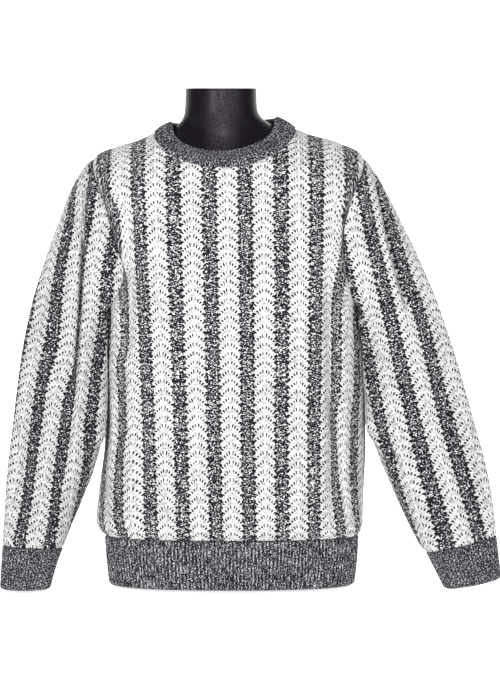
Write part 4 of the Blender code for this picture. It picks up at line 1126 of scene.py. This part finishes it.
def make_band(name, ring_at, ribs, length, material, flip):
    """A ribbed band; ring_at gives its points around for a share of its height and an inset."""
    columns = ribs * RIB_POINTS
    t, lip = band_profile(BAND_ROWS + 1)
    wave = rib_wave(columns)
    outer = []
    for share, full in zip(t, lip):
        valley = ring_at(share, RIB_INSET, columns)
        crest = ring_at(share, RIB_INSET - RIB_HEIGHT, columns)
        mixed = valley + (crest - valley) * wave[:, None] * full
        deeper = ring_at(share, RIB_INSET + WALL * 0.5, columns)
        outer.append(deeper + (mixed - deeper) * full)
    outer = np.array(outer)
    inner = np.array([ring_at(share, RIB_INSET + WALL, columns)[::LINING_STEP]
                      for share in t[::LINING_STEP]])
    across = np.arange(columns + 1) / RIB_POINTS
    across = np.repeat(across[None, :], BAND_ROWS + 1, axis=0)
    height = np.repeat((t * length)[:, None], columns + 1, axis=1)
    return shell(name, outer, inner, True, (across, height), material, flip)


def oval_ring(share, inset, columns):
    """A ring of the hem band, from its bottom up, evenly spaced around."""
    z = HEM[0].z + (HEM[-1].z - HEM[0].z) * share
    left, right = read(HEM, "z", "left", z), read(HEM, "z", "right", z)
    turn = np.linspace(0, 2 * np.pi, OVAL_POINTS + 1)
    c, s = -np.cos(turn), np.sin(turn)
    power = 2 / ROUNDNESS
    deep = np.where(s > 0, read(HEM, "z", "front", z), read(HEM, "z", "back", z)) - inset
    half = (right - left) / 2 - inset
    x = (left + right) / 2 + half * np.sign(c) * np.abs(c) ** power
    ring = np.stack([x, -deep * np.sign(s) * np.abs(s) ** power, np.full_like(x, z)], axis=-1)
    return resample(ring, columns)[:-1]


def cuff_ring(table):
    """The function that gives a cuff's rings, from its sleeve down."""
    def ring(share, inset, columns):
        """Points around the cuff at a share of its height."""
        centre, out, wide, deep = [value[0] for value in section(table, np.array([share]))]
        if share == 0.0:
            down = np.cross(out, (0.0, 1.0, 0.0))
            down *= -1 if down[2] > 0 else 1
            centre = centre + down * SEAM_GAP
        angle = 2 * np.pi * np.arange(columns) / columns
        across = ((wide - inset) * np.cos(angle))[:, None] * out
        return centre + across + ((deep - inset) * np.sin(angle))[:, None] * np.array([0, -1, 0])
    return ring


def make_neckband(material):
    """The collar: a thick band that stands up from the neck seam to a round ribbed edge."""
    per_station = RIBS_PER_STATION * RIB_POINTS
    seam, rises, out, width = neck_ring(per_station)
    columns = len(seam)
    wave = rib_wave(columns)
    t = np.linspace(0, 1, BAND_ROWS + 1)
    step = t * COLLAR[-1].step
    share = read(COLLAR, "step", "share", step)
    proud = read(COLLAR, "step", "proud", step)
    ribbed = ease(t / COLLAR_RIBS_START) * ease((1 - t) / COLLAR_RIBS_END)
    foot = seam + rises * NECK_SEAM_GAP / 2
    outer = []
    for k in range(len(t)):
        at_edge = max(share[k] - COLLAR_EDGE_FROM, 0) / (1 - COLLAR_EDGE_FROM)
        lift = width * share[k] + COLLAR_EDGE * at_edge
        stand = proud[k] + RIB_HEIGHT * wave * ribbed[k]
        outer.append(foot + rises * lift[:, None] + out * stand[:, None])
    outer = np.array(outer)
    inner = []
    for share_in in np.linspace(0, 1, BAND_ROWS // LINING_STEP + 1):
        depth = WALL + (COLLAR_INSIDE - WALL) * share_in
        inner.append(foot + rises * (width * share_in)[:, None] - out * depth)
    inner = np.array(inner)[:, ::LINING_STEP]
    across = np.repeat((np.arange(columns + 1) / RIB_POINTS)[None, :], len(t), axis=0)
    height = np.repeat((share * COLLAR_DEPTH)[:, None], columns + 1, axis=1)
    return shell("collar", outer, inner, True, (across, height), material, True)


# --- materials

class Wire:
    """A number or colour on its way between nodes, which takes part in sums."""

    def __init__(self, paint, socket):
        self.paint, self.socket = paint, socket

    def maths(self, operation, *values):
        """A sum, or another operation, on values and wires."""
        return self.paint.maths(operation, *values)

    def __add__(self, other):
        return self.maths("ADD", self, other)

    def __radd__(self, other):
        return self.maths("ADD", other, self)

    def __sub__(self, other):
        return self.maths("SUBTRACT", self, other)

    def __rsub__(self, other):
        return self.maths("SUBTRACT", other, self)

    def __mul__(self, other):
        return self.maths("MULTIPLY", self, other)

    def __rmul__(self, other):
        return self.maths("MULTIPLY", other, self)

    def __truediv__(self, other):
        return self.maths("DIVIDE", self, other)


class Paint:
    """One material and its nodes."""

    def __init__(self, name):
        self.material = bpy.data.materials.new(name)
        self.material.use_nodes = True
        self.tree = self.material.node_tree
        self.shader = self.tree.nodes["Principled BSDF"]

    def node(self, kind, inputs=(), output=0, stops=None, **own):
        """Adds a node: its own settings first, then the values or wires of its sockets."""
        node = self.tree.nodes.new(kind)
        for key, value in own.items():
            setattr(node, key, value)
        if stops:
            ramp = node.color_ramp
            while len(ramp.elements) < len(stops):
                ramp.elements.new(1.0)
            for element, (place, colour) in zip(ramp.elements, stops):
                element.position = place
                element.color = (*colour, 1.0)
        for key, value in dict(inputs).items():
            self.feed(node.inputs[key], value)
        return Wire(self, node.outputs[output])

    def feed(self, socket, value):
        """Gives a socket its wire, colour or number."""
        if isinstance(value, Wire):
            self.tree.links.new(value.socket, socket)
        elif hasattr(value, "__len__") and len(value) == 3 and socket.type == "RGBA":
            socket.default_value = (*value, 1.0)
        else:
            socket.default_value = value

    def maths(self, operation, *values):
        """A maths node on values and wires."""
        return self.node("ShaderNodeMath", dict(enumerate(values)), operation=operation)

    def step(self, value, low, high):
        """0 below low and 1 above high, with a soft rise; low may be the higher."""
        return self.node("ShaderNodeMapRange", {"Value": value, "From Min": low, "From Max": high},
                         interpolation_type="SMOOTHSTEP")

    def mix(self, factor, a, b):
        """Colour a at factor 0, b at 1."""
        return self.node("ShaderNodeMix", {0: factor, 6: a, 7: b}, output=2, data_type="RGBA")

    def place(self, x, y, z=0.0):
        """A place made of three numbers."""
        return self.node("ShaderNodeCombineXYZ", {0: x, 1: y, 2: z})

    def noise(self, place, scale, detail=2.0, rough=0.5):
        """Soft noise about 0.5."""
        return self.node("ShaderNodeTexNoise", {"Vector": place, "Scale": scale, "Detail": detail,
                                                "Roughness": rough})

    def chance(self, place):
        """A random number from 0 to 1 for each place."""
        return self.node("ShaderNodeTexWhiteNoise", {"Vector": place}, noise_dimensions="3D")

    def ramp(self, value, stops):
        """A colour ramp; stops holds places and colours."""
        return self.node("ShaderNodeValToRGB", {"Fac": value}, stops=stops)

    def parts(self, place):
        """The three numbers of a place."""
        first = self.node("ShaderNodeSeparateXYZ", {0: place})
        return [Wire(self, socket) for socket in first.socket.node.outputs]

    def knit_map(self):
        """The two numbers of the piece's own map."""
        across, height, _ = self.parts(self.node("ShaderNodeUVMap", uv_map="knit"))
        return across, height

    def finish(self, colour, roughness, height, depth, specular, sheen=0.0):
        """Connects the shader, with a bump of some height scaled to a depth in metres."""
        bump = self.node("ShaderNodeBump", {"Height": height, "Distance": depth, "Strength": 1.0})
        self.feed(self.shader.inputs["Base Color"], colour)
        self.feed(self.shader.inputs["Roughness"], roughness)
        self.feed(self.shader.inputs["Normal"], bump)
        self.shader.inputs["Sheen Weight"].default_value = sheen
        self.shader.inputs["Specular IOR Level"].default_value = specular
        return self.material


def marl(paint, x, y, seed):
    """Mixed black, slate and white yarn, as one value from dark to light."""
    fine = paint.noise(paint.place(x * 400.0, y * 490.0, seed), 1.0, 1.0, 0.6)
    rows = paint.noise(paint.place(x * 120.0, y * 360.0, seed + 4.0), 1.0, 1.0, 0.5)
    broad = paint.noise(paint.place(x * 45.0, y * 95.0, seed + 9.0), 1.0, 2.0, 0.5)
    return 0.5 + (fine - 0.5) * 5.0 + (rows - 0.5) * 1.5 + (broad - 0.5) * 0.7


def marl_colour(paint, value, look):
    """The colour of mixed yarn, from black by way of slate to white."""
    black, slate, white = tuple(look.black), tuple(look.slate), tuple(look.white)
    pale = tuple(0.62 * c for c in white)
    dusk = tuple(0.35 * c for c in slate)
    return paint.ramp(value, [(0.0, black), (0.36, black), (0.46, dusk), (0.60, slate),
                              (0.82, pale), (1.0, white)])


def striped_material(name, look, shade_and_tone):
    """White scalloped columns between feathered marl stripes."""
    paint = Paint(name)
    across, height = paint.knit_map()
    near = paint.maths("WRAP", across, 0.5, -0.5)
    column = across - near
    side = paint.maths("SIGN", near)
    reach = paint.maths("ABSOLUTE", near)
    seed = column * 7.31
    x = across * TEXTURE_REPEAT

    # Scalloped rows: each falls from its crown in the column's middle to feet in the stripes
    a = reach / WHITE_HALF
    drop = SCALLOP_DROP * (paint.maths("SQRT", a * a + SCALLOP_ROUND ** 2) - SCALLOP_ROUND)
    phase = (height + drop) / SCALLOP_PITCH + paint.chance(paint.place(column, 3.0)) * 0.30
    row = paint.maths("ROUND", phase)
    lift = phase - row
    off_row = paint.maths("ABSOLUTE", lift)
    foot = paint.step(off_row, 0.36, 0.12)

    # The stripe's feathered edge: dark and light stitches take turns, row by row
    courses = height / COURSE
    jitter = paint.noise(paint.place(column * 3.7 + side * 1.9, courses * 0.9), 1.0, 2.0)
    beat = paint.step(paint.maths("PINGPONG", courses + jitter * 0.9, 1.0), 0.2, 0.8)
    edge = WHITE_HALF - EDGE_INSET + beat * EDGE_BEAT + (jitter - 0.5) * EDGE_JITTER
    edge = edge - foot * EDGE_FOOT
    dark = paint.step(reach, edge, edge + EDGE_SOFT)
    value = marl(paint, x, height, seed)
    border = paint.step(reach, WHITE_HALF + BORDER_FAR, WHITE_HALF + BORDER_NEAR)
    # On the sleeves the marl is darkened further here as painted shade
    value = value - MARL_DARKER - shade_and_tone.darker - border * (BORDER_DARKER - beat * BORDER_BEAT)
    dark_colour = marl_colour(paint, value, look)

    # Short radial dashes between the loops of each scalloped row, and fainter ones between rows
    fan = a * (1.0 - DASH_FAN * SCALLOP_PITCH * lift)
    spot = (fan + 0.05) / DASH_SPACING
    index = paint.maths("ROUND", spot)
    aside = paint.maths("ABSOLUTE", spot - index)
    beside = column * 2.0 + side * 0.5
    luck = paint.chance(paint.place(beside, row, index))
    luck_two = paint.chance(paint.place(beside + 40.0, row, index))
    tall = 0.13 + luck_two * 0.08
    dash = paint.step(aside, 0.34, 0.17) * paint.step(off_row, tall + 0.07, tall - 0.02)
    dash = dash * paint.step(index, 0.4, 0.6)
    strength = (0.80 + index * 0.14) * (0.70 + luck * 0.60)
    loops = paint.noise(paint.place(x * 260.0, height * 420.0, seed), 1.0, 2.0, 0.5)
    dash = dash * strength * paint.step(loops, 0.14, 0.38)
    ghost = paint.step(off_row, 0.24, 0.36) * paint.step(aside, 0.14, 0.34)
    dash = paint.maths("MINIMUM", dash + ghost * (0.16 + luck * 0.22), 1.0)
    soft = paint.noise(paint.place(x * 150.0, height * 220.0, seed + 2.0), 1.0, 2.0, 0.6)
    # On the sleeves the white is dimmed here as painted shade
    white = tuple(shade_and_tone.white * c for c in look.white)
    shade = tuple(0.58 * c for c in white)
    yarn = paint.mix(paint.step(soft, 0.32, 0.62), shade, white)
    light_colour = paint.mix(dash, yarn, tuple(2.0 * c for c in look.black))
    colour = paint.mix(dark, light_colour, dark_colour)
    bump = (1.0 - dark) * (loops * 0.35 - dash * 0.8) + dark * (value * 0.6 - 0.3)
    return paint.finish(colour, KNIT_ROUGHNESS, bump, KNIT_BUMP, CLOTH_SPECULAR, CLOTH_SHEEN)


def rib_material(name, look, shade_and_tone):
    """Ribbed marl: light lines along the ribs, broken by flecks, with painted shade in the grooves
    and painted light on the crests.
    """
    paint = Paint(name)
    lined = shade_and_tone.lined
    across, height = paint.knit_map()
    fine = paint.noise(paint.place(across * 3.1, height * 430.0, 5.0), 1.0, 1.0, 0.6)
    line = paint.noise(paint.place(across * 2.7, height * 80.0, 9.0), 1.0, 1.0, 0.5)
    broad = paint.noise(paint.place(across * 0.2, height * 40.0, 2.0), 1.0, 2.0, 0.5)
    # Painted shade and light: the colour is darker in the grooves between ribs and lighter on
    # their crests
    crest = paint.maths("PINGPONG", across, 0.5) * 2.0
    value = 0.38 - shade_and_tone.darker + (fine - 0.5) * (3.4 - 0.7 * lined) + (line - 0.5) * 1.5 * lined
    value = value + (broad - 0.5) * 0.3 + (crest - 0.5) * 0.34 * lined
    loops = paint.maths("PINGPONG", height / COURSE * 1.3, 0.5)
    black = tuple(look.black)
    colour = paint.ramp(value, [(0.0, black), (0.32, black),
                                (0.46, tuple(0.45 * c for c in look.slate)),
                                (0.60, tuple(1.15 * c for c in look.slate)),
                                (0.82, tuple(0.50 * c for c in look.white)),
                                (1.0, tuple(0.85 * c for c in look.white))])
    bump = value * 0.4 + loops * 0.4
    return paint.finish(colour, RIB_ROUGHNESS, bump, RIB_BUMP, CLOTH_SPECULAR, CLOTH_SHEEN)


def form_material(look):
    """Glossy black moulding with faint unevenness and specks of dust, and a painted highlight: a
    paler speckled strip down its front.
    """
    paint = Paint("black gloss")
    place = paint.node("ShaderNodeTexCoord", output=3)
    broad = paint.noise(place, 9.0, 3.0, 0.5)
    grain = paint.noise(place, 260.0, 2.0, 0.5)
    dust = paint.step(paint.noise(place, 60.0, 4.0, 0.6), 0.55, 0.75)
    x, y, _ = paint.parts(place)
    # Painted highlight: the colour turns paler in a speckled strip down the front of the form
    aside = paint.maths("ABSOLUTE", x - PAINTED_HIGHLIGHT_MIDDLE)
    painted_highlight = paint.step(aside + (broad - 0.5) * 0.03, PAINTED_HIGHLIGHT_HALF, 0.004)
    painted_highlight = painted_highlight * paint.step(y, -0.015, -0.045)
    speckle = paint.noise(place, 420.0, 3.0, 0.7)
    painted_highlight = painted_highlight * (0.25 + paint.step(speckle, 0.42, 0.66) * 0.75)
    colour = paint.mix(dust * 0.25, tuple(look.colour), tuple(2.4 * c for c in look.colour))
    colour = paint.mix(painted_highlight * 0.75, colour, tuple(look.painted_highlight))
    roughness = look.gloss + (broad - 0.5) * 0.10 + dust * 0.08
    bump = broad * 0.3 + grain * 0.03
    return paint.finish(colour, roughness, bump, FORM_BUMP, FORM_SPECULAR)


def glow_material(name, colour, strength):
    """A matt pale surface that shines a little by itself."""
    paint = Paint(name)
    paint.shader.inputs["Base Color"].default_value = (*colour, 1.0)
    paint.shader.inputs["Roughness"].default_value = 0.9
    paint.shader.inputs["Emission Color"].default_value = (1.0, 1.0, 1.0, 1.0)
    paint.shader.inputs["Emission Strength"].default_value = strength
    return paint.material


# --- operators

class SWEATER_OT_body(bpy.types.Operator):
    """Knits the front and the back"""
    bl_idname = "sweater.body"
    bl_label = "Body panels"

    def execute(self, context):
        look = context.scene.sweater_knit
        material = striped_material("striped knit", look, PAINTED_SHADE_BODY)
        for name, side, folds, node in (("knit_front", -1, FRONT_FOLDS, "front"),
                                        ("knit_back", 1, BACK_FOLDS, "back")):
            piece = make_panel(name, side, folds, look, material)
            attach(piece, BODY_NAME)
            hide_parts(node)
        return {"FINISHED"}


class SWEATER_OT_sleeves(bpy.types.Operator):
    """Knits the two sleeves"""
    bl_idname = "sweater.sleeves"
    bl_label = "Sleeves"

    def execute(self, context):
        look = context.scene.sweater_knit
        # Each sleeve gets its own copy of the knit with painted shade, the left darker than the
        # right
        for name, hand, table, folds, lean, lead, shade_and_tone, area in (
                ("sleeve_left", -1, SLEEVE_LEFT, SLEEVE_FOLDS_LEFT, LEAN_LEFT, LEAD_STRIPE_LEFT,
                 PAINTED_SHADE_LEFT, 0.21),
                ("sleeve_right", 1, SLEEVE_RIGHT, SLEEVE_FOLDS_RIGHT, LEAN_RIGHT,
                 LEAD_STRIPE_RIGHT, PAINTED_SHADE_RIGHT, 0.22)):
            material = striped_material("striped knit " + name, look, shade_and_tone)
            piece = make_sleeve("knit_" + name, hand, table, folds, lean, lead, look, material)
            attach(piece, BODY_NAME)
            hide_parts(name)
        return {"FINISHED"}


class SWEATER_OT_bands(bpy.types.Operator):
    """Knits the ribbed hem band, cuffs and collar"""
    bl_idname = "sweater.bands"
    bl_label = "Ribbed bands"

    def execute(self, context):
        look = context.scene.sweater_knit
        material = rib_material("marl rib", look, RIB_HEM)
        dusky = rib_material("marl rib collar and cuffs", look, RIB_SMALL)
        ribs = rib_count(lengths_along(oval_ring(0.5, 0.0, GIRTH_POINTS))[-1])
        hem = make_band("rib_hem", oval_ring, ribs, HEM[-1].z - HEM[0].z, material, False)
        pieces = [(hem, "hem_band", (0.99, 0.075))]
        for name, table, size in (("cuff_left", CUFF_LEFT, (0.25, 0.067)),
                                  ("cuff_right", CUFF_RIGHT, (0.29, 0.067))):
            _, _, wide, deep = [value[0] for value in section(table, np.array([0.5]))]
            ribs = rib_count(2 * math.pi * math.sqrt((wide ** 2 + deep ** 2) / 2))
            flip = table is CUFF_LEFT
            band = make_band("rib_" + name, cuff_ring(table), ribs, CUFF_DEPTH, dusky, flip)
            pieces.append((band, name, size))
        pieces.append((make_neckband(dusky), "neckband", (0.62, 0.040)))
        for piece, node, size in pieces:
            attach(piece, BODY_NAME)
            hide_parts(node)
        return {"FINISHED"}


class SWEATER_OT_form(bpy.types.Operator):
    """Smooths and paints the dress form"""
    bl_idname = "sweater.form"
    bl_label = "Dress form"

    def execute(self, context):
        form = show("smooth_form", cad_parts["dress_form"].data.copy())
        bpy.ops.object.select_all(action="DESELECT")
        context.view_layer.objects.active = form
        form.select_set(True)
        bpy.ops.object.mode_set(mode="EDIT")
        bpy.ops.mesh.select_all(action="SELECT")
        bpy.ops.mesh.remove_doubles(threshold=MERGE_WITHIN)
        bpy.ops.mesh.tris_convert_to_quads(face_threshold=QUADS_WITHIN,
                                           shape_threshold=QUADS_WITHIN)
        bpy.ops.object.mode_set(mode="OBJECT")
        smooth = form.modifiers.new("smooth", "SUBSURF")
        smooth.levels = SMOOTH_LEVELS
        smooth.render_levels = SMOOTH_LEVELS
        bpy.ops.object.modifier_apply(modifier=smooth.name)
        form.data.shade_smooth()
        form.data.materials.clear()
        form.data.materials.append(form_material(context.scene.sweater_form))
        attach(form, BODY_NAME)
        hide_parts("dress_form")
        return {"FINISHED"}


class SWEATER_OT_studio(bpy.types.Operator):
    """Sets the floor, the lights and the camera"""
    bl_idname = "sweater.studio"
    bl_label = "Studio"

    def execute(self, context):
        scene = context.scene
        look = scene.sweater_studio
        bpy.ops.object.select_all(action="DESELECT")
        bpy.ops.mesh.primitive_plane_add(size=FLOOR_SIZE, location=(0, 0, 0))
        floor = context.object
        floor.name = "floor"
        floor.data.materials.append(glow_material("pale floor", look.backdrop, FLOOR_GLOW))
        bpy.ops.mesh.primitive_plane_add(size=BACKDROP_SIZE, location=(0, BACKDROP_AWAY, 0),
                                         rotation=(math.radians(90), 0, 0))
        backdrop = context.object
        backdrop.name = "backdrop"
        white = glow_material("white backdrop", look.backdrop, BACKDROP_GLOW)
        backdrop.data.materials.append(white)
        for lamp in LAMPS:
            add_light(lamp, getattr(look, lamp.name))
        world = bpy.data.worlds.new("white surround")
        world.use_nodes = True
        surround = world.node_tree.nodes["Background"]
        surround.inputs["Color"].default_value = (1, 1, 1, 1)
        surround.inputs["Strength"].default_value = look.ambient
        scene.world = world
        scene.view_settings.view_transform = "Standard"
        camera = bpy.data.cameras.new("camera")
        camera.sensor_fit = "VERTICAL"
        camera.sensor_height = SENSOR_HEIGHT
        camera.lens = camera.sensor_height * look.distance / VIEW_HEIGHT
        holder = bpy.data.objects.new("camera", camera)
        scene.collection.objects.link(holder)
        holder.location = (CAMERA_X, -look.distance, CAMERA_HEIGHT)
        holder.rotation_euler = (math.radians(90), 0, 0)
        scene.camera = holder
        return {"FINISHED"}


def add_light(lamp, power):
    """Sets up a soft lamp."""
    light = bpy.data.lights.new(lamp.name, "AREA")
    light.shape = "RECTANGLE"
    light.size = lamp.width
    light.size_y = lamp.height
    light.energy = power
    holder = bpy.data.objects.new(lamp.name, light)
    bpy.context.scene.collection.objects.link(holder)
    holder.location = lamp.place
    towards = Vector(lamp.aim) - Vector(lamp.place)
    holder.rotation_euler = towards.to_track_quat("-Z", "Y").to_euler()


class SWEATER_PT_panel(bpy.types.Panel):
    """The sweater's steps in the sidebar"""
    bl_idname = "SWEATER_PT_panel"
    bl_label = "Striped sweater"
    bl_space_type = "VIEW_3D"
    bl_region_type = "UI"
    bl_category = "Sweater"

    def draw(self, context):
        scene = context.scene
        for step in STEPS:
            self.layout.operator(step.bl_idname)
        for group in (scene.sweater_knit, scene.sweater_form, scene.sweater_studio):
            for name in group.bl_rna.properties.keys():
                if name not in ("rna_type", "name"):
                    self.layout.prop(group, name)


STEPS = (SWEATER_OT_body, SWEATER_OT_sleeves, SWEATER_OT_bands, SWEATER_OT_form,
         SWEATER_OT_studio)
CLASSES = (KnitSettings, FormSettings, StudioSettings) + STEPS + (SWEATER_PT_panel,)


def register():
    """Adds the classes and the scene's settings."""
    for cls in CLASSES:
        bpy.utils.register_class(cls)
    bpy.types.Scene.sweater_knit = PointerProperty(type=KnitSettings)
    bpy.types.Scene.sweater_form = PointerProperty(type=FormSettings)
    bpy.types.Scene.sweater_studio = PointerProperty(type=StudioSettings)


def unregister():
    """Takes them away again."""
    del bpy.types.Scene.sweater_studio
    del bpy.types.Scene.sweater_form
    del bpy.types.Scene.sweater_knit
    for cls in reversed(CLASSES):
        bpy.utils.unregister_class(cls)


def main():
    """Builds the looks."""
    register()
    bpy.ops.sweater.body()
    bpy.ops.sweater.sleeves()
    bpy.ops.sweater.bands()
    bpy.ops.sweater.form()
    bpy.ops.sweater.studio()


if __name__ == "__main__":
    main()
